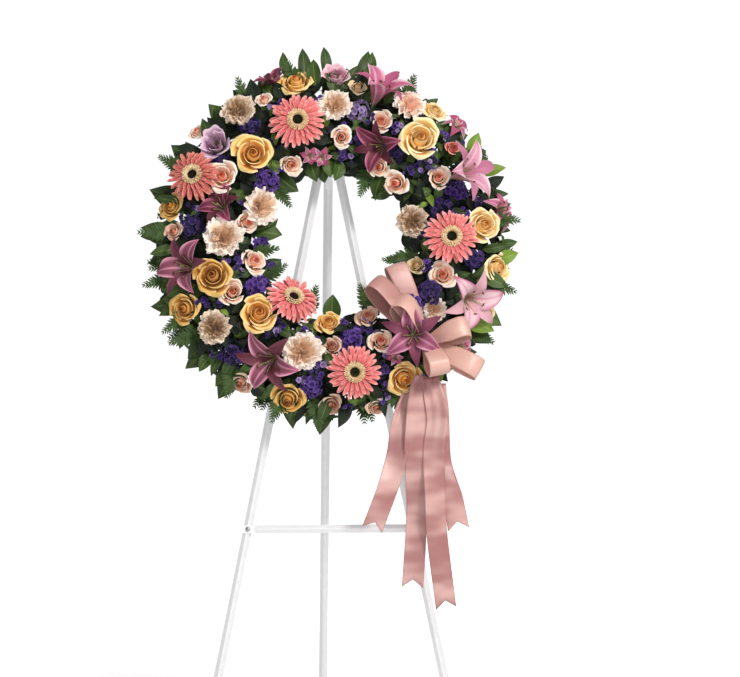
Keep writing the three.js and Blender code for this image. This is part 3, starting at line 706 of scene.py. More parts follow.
# Each colouring's heart, root, body, rim and edge
PETALS = {
    "gerbera_coral": [(222, 96, 94), (186, 56, 60), (228, 112, 112), (248, 174, 170), (250, 184, 178)],
    "gerbera_salmon": [(190, 90, 82), (166, 62, 60), (204, 104, 94), (228, 150, 136), (230, 154, 142)],
    "rose_gold": [(232, 146, 46), (208, 132, 46), (240, 186, 96), (252, 226, 160), (252, 228, 170)],
    "rose_pale": [(244, 180, 84), (228, 174, 88), (250, 214, 138), (254, 240, 198), (254, 240, 206)],
    "rose_ochre": [(196, 122, 38), (170, 106, 34), (214, 158, 72), (236, 200, 126), (236, 204, 138)],
    "spray_peach": [(248, 108, 62), (248, 174, 132), (255, 224, 200), (255, 246, 236), (255, 246, 236)],
    "spray_dusty": [(220, 108, 68), (192, 124, 90), (232, 188, 162), (242, 216, 196), (242, 216, 198)],
    "spray_cream": [(226, 172, 98), (200, 156, 92), (238, 210, 164), (250, 234, 204), (250, 236, 208)],
    "spray_red": [(196, 62, 62), (174, 58, 56), (214, 102, 92), (236, 162, 144), (236, 164, 148)],
    # Carnation roots are a darker tan: painted shade deep in the bloom. The shaded tan colouring is a darker
    # copy of the cream one, painted shade for carnations that sit in shade
    "carnation_cream": [(226, 190, 156), (184, 140, 106), (246, 222, 200), (254, 246, 238), (254, 246, 238)],
    "carnation_tan": [(178, 142, 106), (140, 102, 72), (214, 186, 156), (240, 224, 206), (240, 224, 206)],
    "carnation_peach": [(242, 198, 174), (222, 172, 146), (252, 226, 208), (255, 244, 236), (255, 244, 236)],
    "lily_pink": [(176, 84, 122), (130, 92, 80), (194, 104, 140), (206, 116, 156), (244, 208, 220)],
    "lily_blush": [(190, 116, 146), (140, 108, 88), (214, 152, 176), (198, 104, 146), (246, 218, 228)],
    "lily_pale": [(214, 166, 176), (156, 130, 100), (232, 196, 204), (192, 90, 138), (204, 112, 154)],
    "lily_deep": [(122, 58, 82), (56, 36, 34), (152, 80, 110), (202, 116, 156), (224, 158, 188)],
    "lily_dark": [(104, 48, 62), (78, 60, 52), (134, 70, 90), (198, 98, 138), (236, 166, 192)],
    "lily_plum": [(88, 32, 48), (56, 26, 34), (110, 42, 64), (150, 64, 94), (200, 112, 144)],
    "lisianthus": [(166, 122, 150), (134, 102, 114), (204, 162, 192), (230, 202, 220), (238, 214, 228)],
    "lisianthus_rose": [(206, 142, 158), (172, 116, 126), (230, 176, 192), (246, 212, 222), (248, 220, 228)],
    "alstroemeria": [(170, 78, 112), (214, 186, 170), (188, 104, 138), (234, 196, 208), (244, 222, 228)],
    "violet": [(74, 40, 128), (36, 20, 70), (84, 50, 144), (132, 100, 188), (140, 110, 192)],
    "violet_dark": [(44, 28, 80), (22, 14, 42), (54, 36, 98), (90, 70, 142), (96, 76, 148)],
    "lavender": [(144, 118, 174), (86, 70, 112), (156, 130, 188), (198, 180, 216), (202, 188, 218)],
}


def petal_materials():
    made = {}
    for name, colours in PETALS.items():
        freckles = 0.6 if name in FRECKLED else 0.0
        veins = 7 if name.startswith("gerbera") else 22
        rib = 0.5 if name.startswith("lily") else 0.0
        reach = 0.5 if name in DARK_LILIES else 0.34 if rib else 0.6
        made[name] = petal_material(name, *colours, veins, reach, freckles, rib)
    return made


petals = petal_materials()
salal = leaf_material("salal_leaf", (26, 46, 16), (74, 102, 38), (122, 144, 72))
young_salal = leaf_material("young_leaf", (68, 104, 28), (136, 166, 56), (164, 188, 92))
fern_green = leaf_material("fern_leaf", (34, 58, 22), (72, 100, 42), (92, 118, 58), 0.5, 4)
# Near-black leaves: their colour is painted shade for the dark gaps deep between the blooms
dark_shade_leaf = leaf_material("bed_leaf_painted_shade", (7, 15, 9), (24, 42, 20), (34, 54, 28), 0.55)
stem_green = grain_material("stem_green", (52, 84, 40), (92, 128, 62), 3, 0.2, 0.5)
gerbera_floret = grain_material("gerbera_floret", (226, 182, 130), (250, 236, 196), 4, 0.3, 0.6)
gerbera_eye = grain_material("gerbera_eye", (14, 8, 8), (44, 28, 20), 2, 0.3, 0.7)
pollen = grain_material("pollen", (70, 34, 20), (130, 72, 40), 1.0, 0.3, 0.85)
filament = grain_material("filament", (150, 160, 96), (196, 190, 140), 3, 0.1, 0.5)
satin = satin_material()


# The planting: ring angle in degrees from the right, ring radius, own radius and lift, and the colouring
# where it isn't the kind's usual one

PLANTING = {
    "gerbera": [
        (106, 218, 52, 20), (156, 270, 49, 16, "gerbera_salmon"), (238, 130, 49, 24), (359, 214, 51, 22),
        (279, 250, 50, 22),
    ],
    "yellow_rose": [
        (133, 205, 38, 14), (48, 240, 40, 22, "rose_pale"), (5, 277, 34, 12, "rose_pale"),
        (199, 224, 37, 16, "rose_ochre"), (227, 189, 36, 10), (297, 286, 33, 4), (102, 303, 34, 4),
        (255, 301, 32, 4, "rose_ochre"), (206, 292, 31, 2, "rose_ochre"), (268, 151, 25, 0),
        (168, 295, 27, -2, "rose_ochre"),
    ],
    "lily": [
        (72, 284, 62, 10, "lily_pink"), (26, 267, 64, 18, "lily_blush"), (335, 272, 62, 16, "lily_pale"),
        (308, 231, 58, 30, "lily_deep"), (244, 248, 62, 4, "lily_dark"), (192, 262, 60, 0, "lily_dark"),
        (164, 205, 46, -4),
    ],
    "carnation": [
        (181, 192, 37, 14), (154, 139, 34, 2), (125, 290, 34, 2, "carnation_tan"), (88, 245, 32, -2),
        (256, 216, 37, 10), (218, 265, 32, 0, "carnation_tan"), (13, 152, 32, -4, "carnation_tan"),
    ],
    "lisianthus": [(140, 272, 34, 10), (88, 314, 31, 8, "lisianthus_rose")],
    "statice": [(22, 246, 24, -20), (137, 154, 26, -2)],
}

# By ring angle, how lilies turn about their stems in degrees, which way and how far they nod, and their cup
LILY_TURNS = {
    72: (40, 60, 0.8, 0.7), 26: (15, 5, 0.7, 0.6), 335: (78, 315, 0.45, 0.4), 308: (35, 200, 0.15, 0.1),
    244: (50, 215, 0.5, 0.45), 192: (0, 175, 0.5, 0.45), 164: (10, 160, 0.6, 0.5), 62: (70, 200, 0.6, 0.6),
    109: (30, 120, 0.6, 0.6),
}

# Sprays: several heads on one forked stem
SPRAYS = [
    [(196, 142, 26, 4), (209, 202, 26, -4), (168, 153, 23, -6)],
    [(57, 159, 21, -4), (41, 155, 25, 4)],
    [(30, 225, 24, -6), (67, 237, 24, -8)],
    [(341, 211, 27, 2), (343, 158, 18, -6, "spray_cream")],
    [(295, 206, 25, -4), (295, 154, 23, 0, "spray_dusty"), (270, 195, 20, -12, "spray_dusty")],
]

# Small blooms with no CAD solid of their own
FILLERS = {
    "side_rose": [(351, 309, 31, 0, "rose_pale"), (52, 312, 24, 4, "rose_pale")],
    "side_lily": [
        (62, 193, 50, -6), (109, 314, 40, -6), (11, 316, 40, -6, "lily_pink"),
    ],
    "side_carnation": [(60, 290, 32, -4, "carnation_peach"), (325, 224, 24, -12)],
    "spray_bud": [
        (115, 287, 17, 0), (140, 316, 18, 8), (151, 223, 30, 15), (117, 155, 22, -4), (84, 186, 22, 2),
        (80, 292, 19, -4, "spray_cream"), (177, 284, 19, -8, "spray_dusty"),
        (270, 300, 22, -2, "spray_dusty"), (285, 313, 20, -2, "spray_dusty"),
        (238, 307, 22, -4, "spray_dusty"), (335, 315, 22, -6, "spray_cream"),
        (37, 280, 15, 4, "spray_red"),
    ],
    "alstroemeria": [
        (43, 314, 27, 4), (96, 155, 19, -10), (104, 160, 17, -8), (319, 301, 28, 0), (297, 246, 15, 8),
    ],
    "violet_sprig": [
        (78, 246, 22, -12, "lavender"), (17, 205, 22, -14, "violet_dark"),
        (174, 255, 25, -12, "violet_dark"), (213, 154, 23, -4), (320, 180, 27, 12), (281, 185, 25, -10),
        (262, 272, 18, -4), (230, 276, 24, -10, "violet_dark"), (352, 262, 18, -8, "violet_dark"),
        (341, 132, 20, -14, "violet_dark"), (182, 120, 16, -10), (201, 110, 15, -10),
        (55, 199, 22, -14, "violet_dark"), (62, 316, 16, -4, "lavender"),
        (125, 257, 20, -14, "violet_dark"), (5, 176, 20, -10, "violet_dark"),
        (146, 244, 20, -12, "violet_dark"), (330, 200, 22, 10, "violet_dark"),
    ],
}

# Each kind's builder, slot, usual colouring, and centre: its florets, stamens or calyx, its eye or anthers
ROSE = (rose, "rose_petals", "rose_gold", stem_green, pollen)
LILY = (lily, "lily_petals", "lily_plum", filament, pollen)
CARNATION = (carnation, "carnation_petals", "carnation_cream", stem_green, pollen)
SPRAY_ROSE = (spray_rose, "spray_rose_petals", "spray_peach", stem_green, pollen)
STATICE = (cluster, "statice_petals", "violet", stem_green, pollen)
KINDS = {
    "gerbera": (gerbera, "gerbera_petals", "gerbera_coral", gerbera_floret, gerbera_eye),
    "lisianthus": (lisianthus, "lisianthus_petals", "lisianthus", filament, pollen),
    "alstroemeria": (alstroemeria, "lily_petals", "alstroemeria", filament, pollen),
    "yellow_rose": ROSE,
    "side_rose": ROSE,
    "lily": LILY,
    "side_lily": LILY,
    "carnation": CARNATION,
    "side_carnation": CARNATION,
    "spray_rose": SPRAY_ROSE,
    "spray_bud": SPRAY_ROSE,
    "statice": STATICE,
    "violet_sprig": STATICE,
}


def colouring(kind, entry):
    """The entry's own colouring, or its kind's usual one."""
    return entry[4] if len(entry) > 4 else KINDS[kind][2]


def add_bloom(sheaf, kind, entry, root=None):
    """A bloom in its place on the ring, with its stem bending down to the foam."""
    clock, radius, size, lift = entry[:4]
    end, face, axis = facing(clock, radius, lift)
    root = end if root is None else root
    axis = unit((1 - FACE_FORWARD) * axis + FACE_FORWARD * UP)
    spin = sheaf.phase()
    shape = ()
    if KINDS[kind][0] is lily and clock in LILY_TURNS:
        spin, lean, nod, *shape = LILY_TURNS[clock]
        axis = unit(axis + outward(lean, nod))
        spin = radians(spin)
    start = len(sheaf.points)
    drop = KINDS[kind][0](sheaf, size, *shape)
    sheaf.place(start, face, basis(axis, spin))
    neck = face - axis * drop
    bend = neck - axis * 0.35 * np.linalg.norm(neck - root)
    path = curve([root, bend, neck], np.linspace(0, 1, 7))
    sheaf.tube(path, STEM_RADIUS if size > SMALL_BLOOM else THIN_STEM_RADIUS, 6, GREEN)


def settle(piece, slot, *nodes):
    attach(piece, "stand")
    if nodes:
        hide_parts(*nodes)


def make_blooms(table, in_cad):
    """One piece for each entry, which replaces the CAD node of that name where the CAD has one."""
    for kind, entries in table.items():
        _, slot, _, *centre = KINDS[kind]
        for index, entry in enumerate(entries, 1):
            name = f"{kind}_{index}"
            sheaf = Sheaf(name)
            add_bloom(sheaf, kind, entry)
            materials = [petals[colouring(kind, entry)], *centre, stem_green]
            if in_cad:
                settle(sheaf.mesh(f"{name}_bloom", materials), slot, name)
            else:
                settle(sheaf.mesh(name, materials), slot)


def make_sprays():
    """The heads of a spray share one stem; each head's petals take the slot of their colouring."""
    for index, heads in enumerate(SPRAYS, 1):
        name = f"spray_rose_spray_{index}"
        end, _, axis = facing(heads[0][0], heads[0][1], 0)
        sheaf = Sheaf(name)
        colours = [colouring("spray_rose", head) for head in heads]
        sorts = sorted(set(colours))
        for head, colour in zip(heads, colours):
            first = len(sheaf.slots)
            add_bloom(sheaf, "spray_rose", head, end if head is heads[0] else end + FORK_RISE * axis)
            shift_petals(sheaf, first, OWN_SLOTS + sorts.index(colour))
        piece = sheaf.mesh(f"{name}_blooms", [stem_green] * OWN_SLOTS + [petals[sort] for sort in sorts])
        settle(piece, "spray_rose_petals", name)


def shift_petals(sheaf, first, slot):
    for index in range(first, len(sheaf.slots)):
        sheaf.slots[index][sheaf.slots[index] == PETAL] = slot


# Greenery

# Each sprig's ring angles from and to, then each of its leaves: ring angle, width, and how far its tip
# comes forward
SPRIGS = {
    "left": (144, 214, [
        (148, 40, 20), (163, 44, 34), (176, 40, 12), (187, 24, 30), (201, 42, 26), (211, 26, 10),
    ]),
    "bottom": (219, 283, [
        (221, 40, 22), (234, 42, 10), (246, 24, 32), (257, 40, 24), (267, 42, 12), (281, 26, 22),
    ]),
    "right": (317, 393, [
        (319, 42, 14), (328, 34, 34), (336, 42, 18), (356, 26, 24), (371, 26, 12), (391, 26, 26),
    ]),
    "top": (51, 133, [
        (55, 40, 14), (78, 38, 26), (89, 36, 10), (101, 26, 32), (111, 40, 16), (130, 42, 24),
    ]),
}
TWIG_DEPTH = 30
NARROW = 30  # a leaf narrower than this is a fern's frond
SIDE_REACH = 62
PEG_INSETS = (36, 10, 0)
BED_LEAVES = 230  # in each quarter of the ring
BED_RADII = (140, 312)
BED_LIFTS = (-52, -22)
BED_WIDTHS = (18, 30)
GAP_LEAVES = 260
GAP_RADII = (148, 318)
GAP_LIFTS = (-26, -4)
GAP_WIDTHS = (9, 17)
GAP_FLORETS = 72
FLORET_RADII = (150, 306)
FLORET_LIFTS = (-18, 0)
RIM_LEAVES = 84
RIM_TIPS = (310, 344)
RIM_LENGTHS = (40, 56)
RIM_LIFTS = (-40, -14)
RIM_WIDTHS = (16, 28)
CREST_TIP = 382
CREST_FOOT = (262, 34)  # radius and depth where its leaves' stems end
CREST_LEAVES = [(98, 70, 26), (91, 58, 22), (79, 72, 30), (77, 56, 20), (103, 56, 20)]  # angle, length, width
RIM_FERNS = [8, 62, 101, 121, 152, 176, 193, 206, 216, 232, 252, 263, 290, 326, 344]


def make_sprig(name, first, last, leaves):
    sheaf = Sheaf(name)
    path = [outward(clock, TWIG_RADIUS, TWIG_DEPTH) for clock in np.linspace(first, last, 16)]
    sheaf.tube(path, 2, 7, 2)
    peg = [outward((first + last) / 2, TWIG_RADIUS - inset, TWIG_DEPTH) for inset in PEG_INSETS]
    sheaf.tube(peg, 2.5, 7, 2)
    for clock, width, lift in leaves:
        root = outward(clock, TWIG_RADIUS - 4, TWIG_DEPTH)
        if width < NARROW:
            for swing in (-7, 6):
                frond(sheaf, root, outward(clock + swing, LEAF_TIP - TWIG_RADIUS, lift), 72)
        else:
            blade(sheaf, root, outward(clock, LEAF_TIP - TWIG_RADIUS, lift), 74, width)
            side = outward(clock + sheaf.chance.choice([-12, 12]), SIDE_REACH, lift + 22)
            blade(sheaf, root + UP * 14, side, 58, width - 6)
    piece = sheaf.mesh(f"salal_sprig_{name}_leaves", [salal, fern_green, stem_green])
    settle(piece, "leaf_green", f"salal_sprig_{name}")


def blade(sheaf, root, heading, length, width, slot=0, upper=UP):
    start = len(sheaf.points)
    leaf(sheaf, length, width, slot)
    sheaf.place(start, root, heading_axes(heading, unit(upper + sheaf.jitter(0.25, 3))))


def frond(sheaf, root, heading, length, slot=1):
    start = len(sheaf.points)
    fern(sheaf, length, slot)
    sheaf.place(start, root, heading_axes(heading, unit(UP + sheaf.jitter(0.2, 3))))


def make_bed():
    """Near-black leaves that close the crown below the blooms, all round the ring: their darkness is painted
    shade in the gaps between the blooms.
    """
    for part in range(4):
        sheaf = Sheaf(f"bed_{part}")
        for index in range(BED_LEAVES):
            clock = 90 * (part + (index + sheaf.any()) / BED_LEAVES)
            _, face, axis = facing(clock, sheaf.any(*BED_RADII), sheaf.any(*BED_LIFTS))
            heading = basis(axis, sheaf.any(0, 2 * pi))[0] + 0.35 * axis
            width = sheaf.any(*BED_WIDTHS)
            root = face - heading_axes(heading, axis)[0] * 0.8 * width
            blade(sheaf, root, heading, 1.6 * width, width, upper=axis)
        settle(sheaf.mesh(f"bed_leaves_{part + 1}", [dark_shade_leaf]), "leaf_green")


def open_places(sheaf, count, radii):
    """Places on the crown that no bloom covers: ring angle and radius."""
    entries = [entry for table in (PLANTING, FILLERS) for group in table.values() for entry in group]
    entries += [head for heads in SPRAYS for head in heads]
    taken = [(outward(clock, radius), size) for clock, radius, size, *_ in entries]
    taken += [(outward(clock, radius), 2 * size) for clock, radius, size, *_ in PLANTING["lisianthus"]]
    places = []
    while len(places) < count:
        clock, radius = sheaf.any(0, 360), sheaf.any(*radii)
        if all(np.linalg.norm(outward(clock, radius) - centre) > 0.72 * size + 5 for centre, size in taken):
            places.append((clock, radius))
    return places


def make_gaps():
    """Small leaves and single florets that stand in the gaps between the blooms."""
    leaves = Sheaf("gaps")
    for clock, radius in open_places(leaves, GAP_LEAVES, GAP_RADII):
        _, face, axis = facing(clock, radius, leaves.any(*GAP_LIFTS))
        heading = basis(axis, leaves.any(0, 2 * pi))[0] + leaves.any(0.2, 0.9) * axis
        width = leaves.any(*GAP_WIDTHS)
        root = face - unit(heading) * width
        # Half of the gap leaves take the near-black leaf: painted shade in the gaps
        blade(leaves, root, heading, 2 * width, width, leaves.sort(0.5, 0.42, 0.08), axis)
    settle(leaves.mesh("gap_leaves", [dark_shade_leaf, salal, young_salal]), "leaf_green")
    florets = leaves.another()
    for clock, radius in open_places(florets, GAP_FLORETS, FLORET_RADII):
        _, face, axis = facing(clock, radius, florets.any(*FLORET_LIFTS))
        for _ in range(5):
            centre = face + florets.jitter(5, 3)
            first = len(florets.slots)
            floret(florets, florets.any(4.0, 6.5), centre, unit(axis + florets.jitter(0.4, 3)))
            shift_petals(florets, first, OWN_SLOTS + florets.sort(0.45, 0.4, 0.15))
            stem = [face - 30 * axis, 0.5 * (face + centre) - 12 * axis, centre]
            florets.tube(stem, [0.7, 0.6, 0.5], 4, INNER)
    sorts = [petals[sort] for sort in ("violet", "violet_dark", "lavender")]
    settle(florets.mesh("gap_florets", [stem_green] * OWN_SLOTS + sorts), "statice_petals")


def make_rim():
    """Small leaves and fern tips that stand out all round the wreath's outer edge."""
    sheaf = Sheaf("rim")
    for index in range(RIM_LEAVES):
        clock = 360 * (index + sheaf.any(-0.4, 0.4)) / RIM_LEAVES
        tip = sheaf.any(*RIM_TIPS)
        length = sheaf.any(*RIM_LENGTHS)
        _, face, _ = facing(clock, tip - length, sheaf.any(*RIM_LIFTS))
        heading = outward(clock + sheaf.jitter(16), rise=sheaf.any(-0.1, 0.35))
        # Four in ten rim leaves take the near-black leaf: painted shade at the wreath's outer edge
        blade(sheaf, face, heading, length, sheaf.any(*RIM_WIDTHS), sheaf.sort(0.4, 0.6))
    for clock, length, width in CREST_LEAVES:
        foot = outward(clock, *CREST_FOOT)
        root = outward(clock, CREST_TIP - length, 26)
        sheaf.tube([foot, 0.5 * (foot + root) - 6 * UP, root], [1.5, 1.3, 1.1], 5, 1)
        blade(sheaf, root, outward(clock, rise=0.12), length, width, 1)
    for clock in RIM_FERNS:
        _, face, _ = facing(clock, 282, -30)
        frond(sheaf, face, outward(clock + sheaf.jitter(10), rise=0.15), 70, 3)
    settle(sheaf.mesh("rim_leaves", [dark_shade_leaf, salal, young_salal, fern_green]), "leaf_green")


# Leaves that show between the blooms: ring angle, ring radius, lift, heading, length, width, slot
SHOWN_LEAVES = [
    (330, 300, 4, 330, 60, 34, 1), (318, 300, -6, 300, 56, 34, 1), (308, 292, -6, 285, 50, 34, 1),
    (35, 320, -4, 60, 44, 26, 1), (25, 330, -6, 20, 46, 26, 1), (355, 318, -4, 10, 44, 26, 1),
    (50, 140, -12, 240, 54, 34, 0), (44, 138, -14, 225, 48, 30, 0), (166, 128, -30, 20, 54, 38, 0),
    (84, 138, -16, 262, 40, 28, 0), (91, 140, -14, 270, 34, 26, 0), (103, 138, -18, 285, 38, 28, 0),
    (170, 120, -26, 350, 50, 36, 0), (322, 150, -20, 150, 50, 36, 0), (200, 118, -30, 40, 44, 30, 0),
    (36, 274, -34, 50, 62, 44, 0), (78, 290, -34, 85, 62, 44, 0), (199, 262, -34, 230, 62, 44, 0),
    (116, 292, -34, 110, 58, 40, 0), (129, 300, -36, 130, 52, 36, 0), (164, 300, -36, 160, 52, 36, 0),
    (186, 298, -36, 200, 52, 36, 0), (219, 300, -36, 220, 54, 38, 0), (233, 300, -36, 235, 54, 38, 0),
    (68, 284, -40, 60, 60, 42, 0), (84, 300, -38, 90, 56, 42, 0), (72, 300, -40, 80, 56, 40, 0),
    (41, 290, -30, 20, 60, 40, 0), (150, 292, -30, 140, 60, 42, 0), (176, 288, -34, 190, 60, 42, 0),
    (96, 134, -26, 275, 34, 26, 0), (272, 122, -30, 90, 50, 34, 0), (126, 140, -24, 320, 50, 34, 0),
]
INNER_FERNS = [
    (345, 132, 172), (352, 138, 185), (210, 124, 30), (190, 128, 10), (64, 132, 250), (135, 130, 305),
    (300, 128, 110), (252, 118, 70),
]


def make_shown_leaves():
    sheaf = Sheaf("shown_leaves")
    for clock, radius, lift, heading, length, width, slot in SHOWN_LEAVES:
        _, face, axis = facing(clock, radius, lift)
        root = face - outward(heading, 0.4 * length)
        blade(sheaf, root, outward(heading, rise=0.2), length, width, slot, unit(0.4 * axis + UP))
    settle(sheaf.mesh("shown_leaves", [salal, young_salal]), "leaf_green")
    sheaf = sheaf.another()
    for clock, radius, heading in INNER_FERNS:
        _, face, _ = facing(clock, radius + 24, -34)
        frond(sheaf, face, outward(heading, rise=0.1), 62)
    settle(sheaf.mesh("inner_ferns", [salal, fern_green]), "leaf_green")


# Ribbon

RIBBON_WIDTH = 38
RIBBON_NOTCH = 14
RIBBON_THICKNESS = 0.5
WAIST_RADIUS = 9
GATHER = 0.35
BOW_SEAT = (311, 254, 4)
# Each loop: length, height, roll about its length, direction across the wreath, tilt forward
LOOPS = [
    (152, 40, 96, 111, 0), (146, 46, 122, 132, 10), (96, 50, 130, 126, 26),
    (84, 46, 78, 18, 22), (80, 46, 78, -70, 40), (110, 44, 88, -29, 10),
]
# Middle lines of the tails, from under the bow to the notched ends: x, y, z from the front feet's middle
TAILS = [
    [(141, 16, 718), (123, -1, 660), (116, -4, 618), (107, -4, 580), (94, -4, 542), (70, -4, 479)],
    [(161, -2, 750), (152, -9, 706), (147, -10, 638), (147, -10, 590), (149, -10, 500), (141, -10, 377)],
    [(174, -8, 748), (185, -16, 680), (179, -16, 620), (181, -16, 542), (184, -16, 469), (200, -16, 341)],
    [(188, 5, 736), (190, 2, 660), (194, 2, 600), (204, 2, 560), (214, 2, 530), (224, 2, 478)],
]
# Where each tail kicks forward: height above the floor, how far, and over what length
KICKS = [(570, 8, 26), (455, 6, 34), (560, 8, 44), (578, 7, 22)]


def loop_path(length, height):
    share = np.linspace(0, 1, 17)
    there = curve([(0, -2), (0.35 * length, -0.2 * height), (length, -0.75 * height), (length, 0)], share)
    back = there[-2::-1] * [1, -1]
    return np.concatenate([there, back])


def euler_rows(roll, tilt, direction):
    turn = Matrix.Rotation(radians(direction), 3, "Z")
    turn = turn @ Matrix.Rotation(radians(-tilt), 3, "Y")
    turn = turn @ Matrix.Rotation(radians(roll), 3, "X")
    return np.array(turn).T


def make_bow():
    sheaf = Sheaf("bow")
    _, seat, _ = facing(*BOW_SEAT)
    for order, (length, height, roll, direction, tilt) in enumerate(LOOPS):
        path = loop_path(length, height)
        share = column(len(path))
        across = row(11)
        spread = np.clip(GATHER + (1 - GATHER) * path[:, :1] / (0.6 * length), GATHER, 1)
        width = across * spread * RIBBON_WIDTH / 2
        crease = 2.4 * np.cos(3 * pi * across) * (1 - spread) / (1 - GATHER)
        bow = 1.3 * (across ** 2 - 0.4)
        side = unit(np.stack([-np.gradient(path[:, 1]), np.gradient(path[:, 0])], axis=1))
        plane = path[:, None] + side[:, None] * (crease + bow)[..., None]
        points = np.concatenate([plane, width[..., None]], axis=-1)
        start = len(sheaf.points)
        # The depth mark sets the satin's painted light tint: every loop after the first two is lighter
        sheaf.sheet(points, marks_of(share, across, 0.5, 0.3 if order < 2 else 0.9))
        sheaf.place(start, seat, euler_rows(roll, tilt, direction))
    start = len(sheaf.points)
    angle = 2 * pi * column(17)
    across = row(7)
    radius = WAIST_RADIUS + 1.2 + 0.8 * np.cos(4 * pi * across) - 1.2 * across ** 2
    points = wrapped(radius, angle + 0 * across, 0.36 * RIBBON_WIDTH * across)
    sheaf.sheet(points, marks_of(angle / 6.3, across, 0.5, 0.2))
    sheaf.place(start, seat, euler_rows(80, 10, 40))
    piece = sheaf.mesh("bow_loops_ribbon", [satin])
    thicken(piece)
    settle(piece, "satin_ribbon", "bow_loops")


def thicken(piece):
    """Gives a ribbon its thickness, half to each side."""
    modifier = piece.modifiers.new("thickness", "SOLIDIFY")
    modifier.thickness = RIBBON_THICKNESS * MM
    modifier.offset = 0


def smooth_path(route, count):
    """A Catmull-Rom curve through the route's points."""
    route = np.asarray(route, float)
    padded = np.concatenate([[2 * route[0] - route[1]], route, [2 * route[-1] - route[-2]]])
    points = []
    for place in np.linspace(0, len(route) - 1 - 1e-9, count):
        index = int(place)
        share = place - index
        a, b, c, d = padded[index:index + 4]
        points.append(0.5 * (2 * b + (c - a) * share + (2 * a - 5 * b + 4 * c - d) * share ** 2
                             + (3 * b - a - 3 * c + d) * share ** 3))
    return np.array(points)


def make_tails():
    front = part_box("left_front_leg")[0].y / MM
    for index, (route, (height, kick, length)) in enumerate(zip(TAILS, KICKS), 1):
        sheaf = Sheaf(f"tail_{index}")
        path = smooth_path(route, 56)
        along = unit(np.gradient(path, axis=0))
        sideways = unit(np.cross([0, -1, 0], along))
        share = column(len(path))
        across = row(15)
        phase = sheaf.phase()
        swing = 0.28 * np.sin(4.5 * share + phase) + 0.1 * np.sin(11 * share + 2 * phase)
        bend = kick * np.tanh((path[:, 2:] - height + 6 * across) / length)
        cup = 2.2 * np.sin(4.2 * share + phase) * (across ** 2 - 0.35)
        fold = 1.8 * np.cos(2.2 * pi * across + phase) * (1 - ramp(share, 0.0, 0.5))
        half = RIBBON_WIDTH / 2 * (0.8 + 0.2 * ramp(share, 0, 0.12))
        points = path[:, None] + sideways[:, None] * (across * half * np.cos(swing))[..., None]
        points = points + np.array([0, 1, 0]) * (across * half * np.sin(swing) + bend + cup + fold)[..., None]
        notch = RIBBON_NOTCH * (1 - np.abs(across)) * ramp(share, 0.9, 1.0)
        points = points - along[:, None] * notch[..., None]
        sheaf.sheet(points + [0, front, 0], marks_of(share, across, 0.5, 0.0))
        piece = sheaf.mesh(f"ribbon_tail_{index}_satin", [satin], np.eye(3), 0)
        thicken(piece)
        settle(piece, "satin_ribbon", f"ribbon_tail_{index}")


# Carried-over CAD nodes


def dress(material, *nodes):
    for name in nodes:
        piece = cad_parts[name]
        for slot in piece.material_slots:
            slot.material = material
        if not piece.material_slots:
            piece.data.materials.append(material)


def dress_stand():
    # The paint glows a little: painted light that lifts the legs out of the shade behind the wreath
    paint = grain_material("white_paint", (206, 207, 209), (218, 218, 220), 1.2, 0.05, 0.34, glow=0.34)
    zinc = grain_material("zinc", (150, 152, 156), (196, 198, 202), 1.0, 0.05, 0.34, metallic=1.0)
    dress(paint, "left_front_leg", "right_front_leg", "rear_leg", "crossbar", "top_bracket")
    dress(zinc, "pivot_bolt", "pivot_nut", "crossbar_rivet_left", "crossbar_rivet_right")
    dress(grain_material("tray_plastic", (26, 52, 32), (40, 70, 44), 0.8, 0.1, 0.45), "ring_tray")
    dress(grain_material("wet_foam", (34, 58, 34), (74, 100, 62), 1.6, 0.6, 0.95), "foam_ring")
    wood = grain_material("pick_wood", (150, 118, 74), (196, 168, 118), 1.2, 0.15, 0.7, stretch=(1, 1, 0.2))
    dress(wood, "bow_pick")


# Stage

FLOOR_REACH = 25
WHITE = (1, 1, 1, 1)
WORLD_LIGHT = 0.3
WORLD_SEEN = 1.02


def aim(thing, target):
    direction = Vector(target) - thing.location
    thing.rotation_euler = direction.to_track_quat("-Z", "Y").to_euler()


def add_camera():
    data = bpy.data.cameras.new("camera")
    data.lens = LENS
    data.clip_end = 60
    camera = add_object("camera", data)
    plane = ORIGIN[1] * MM
    camera.location = (CAMERA_X, plane - CAMERA_DISTANCE, CAMERA_HEIGHT)
    aim(camera, (CAMERA_AIM_X, plane, CAMERA_HEIGHT))
    bpy.context.scene.camera = camera


def add_light(name, place, target, size, power, colour=(1, 1, 1)):
    data = bpy.data.lights.new(name, "AREA")
    data.size = size
    data.energy = power
    data.color = colour
    light = add_object(name, data)
    light.location = place
    aim(light, target)


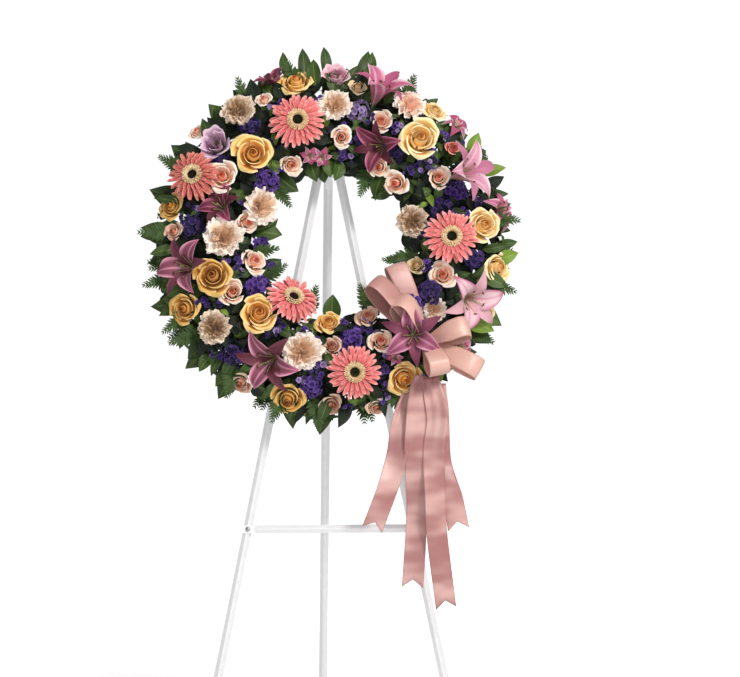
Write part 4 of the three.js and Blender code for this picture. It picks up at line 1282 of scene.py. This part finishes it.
def add_floor():
    """A white floor that glows to the camera, more so away from the stand, so that it meets the world."""
    corners = FLOOR_REACH * np.array([(-1, -1, 0), (1, -1, 0), (1, 1, 0), (-1, 1, 0)])
    mesh = bpy.data.meshes.new("floor")
    mesh.from_pydata(corners.tolist(), [], [(0, 1, 2, 3)])
    shader = Shader("floor", Roughness=0.8, Specular_IOR_Level=0.1, Emission_Color=WHITE)
    seen = shader.node("ShaderNodeLightPath", output="Is Camera Ray")
    place = shader.node("ShaderNodeTexCoord", output="Object")
    far = shader.node("ShaderNodeVectorMath", {0: place}, "Value", operation="LENGTH").spread(0.6, 2.2)
    colour = shader.mix(shader.noise(900, 2), (243, 243, 243), (250, 250, 250))
    mesh.materials.append(shader.finish(Base_Color=colour, Emission_Strength=seen * (far * 0.5 + 0.4)))
    floor = add_object("floor", mesh)


def set_world():
    """A white studio: brighter to the camera than it lights."""
    world = bpy.data.worlds.new("studio")
    bpy.context.scene.world = world
    world.use_nodes = True
    tree = world.node_tree
    background = tree.nodes["Background"]
    path = tree.nodes.new("ShaderNodeLightPath")
    strength = tree.nodes.new("ShaderNodeMapRange")
    strength.inputs["To Min"].default_value = WORLD_LIGHT
    strength.inputs["To Max"].default_value = WORLD_SEEN
    tree.links.new(path.outputs["Is Camera Ray"], strength.inputs["Value"])
    tree.links.new(strength.outputs[0], background.inputs["Strength"])
    background.inputs["Color"].default_value = WHITE
    bpy.context.scene.view_settings.view_transform = "Standard"


def set_stage():
    middle = (0, ORIGIN[1] * MM, ORIGIN[2] * MM)
    add_camera()
    add_light("key", (1.5, -2.6, 2.7), middle, 0.7, 81, (1, 0.965, 0.92))
    add_light("fill", (-2.4, -2.4, 1.0), middle, 2.0, 9)
    add_light("front", (0.1, -3.4, 0.9), middle, 1.0, 11)
    add_light("back", (0.8, 2.4, 2.2), middle, 1.8, 26)
    add_floor()
    set_world()


set_stage()
dress_stand()
make_blooms(PLANTING, in_cad=True)
make_sprays()
make_blooms(FILLERS, in_cad=False)
for sprig_name, sprig in SPRIGS.items():
    make_sprig(sprig_name, *sprig)
make_bed()
make_shown_leaves()
make_gaps()
make_rim()
make_bow()
make_tails()
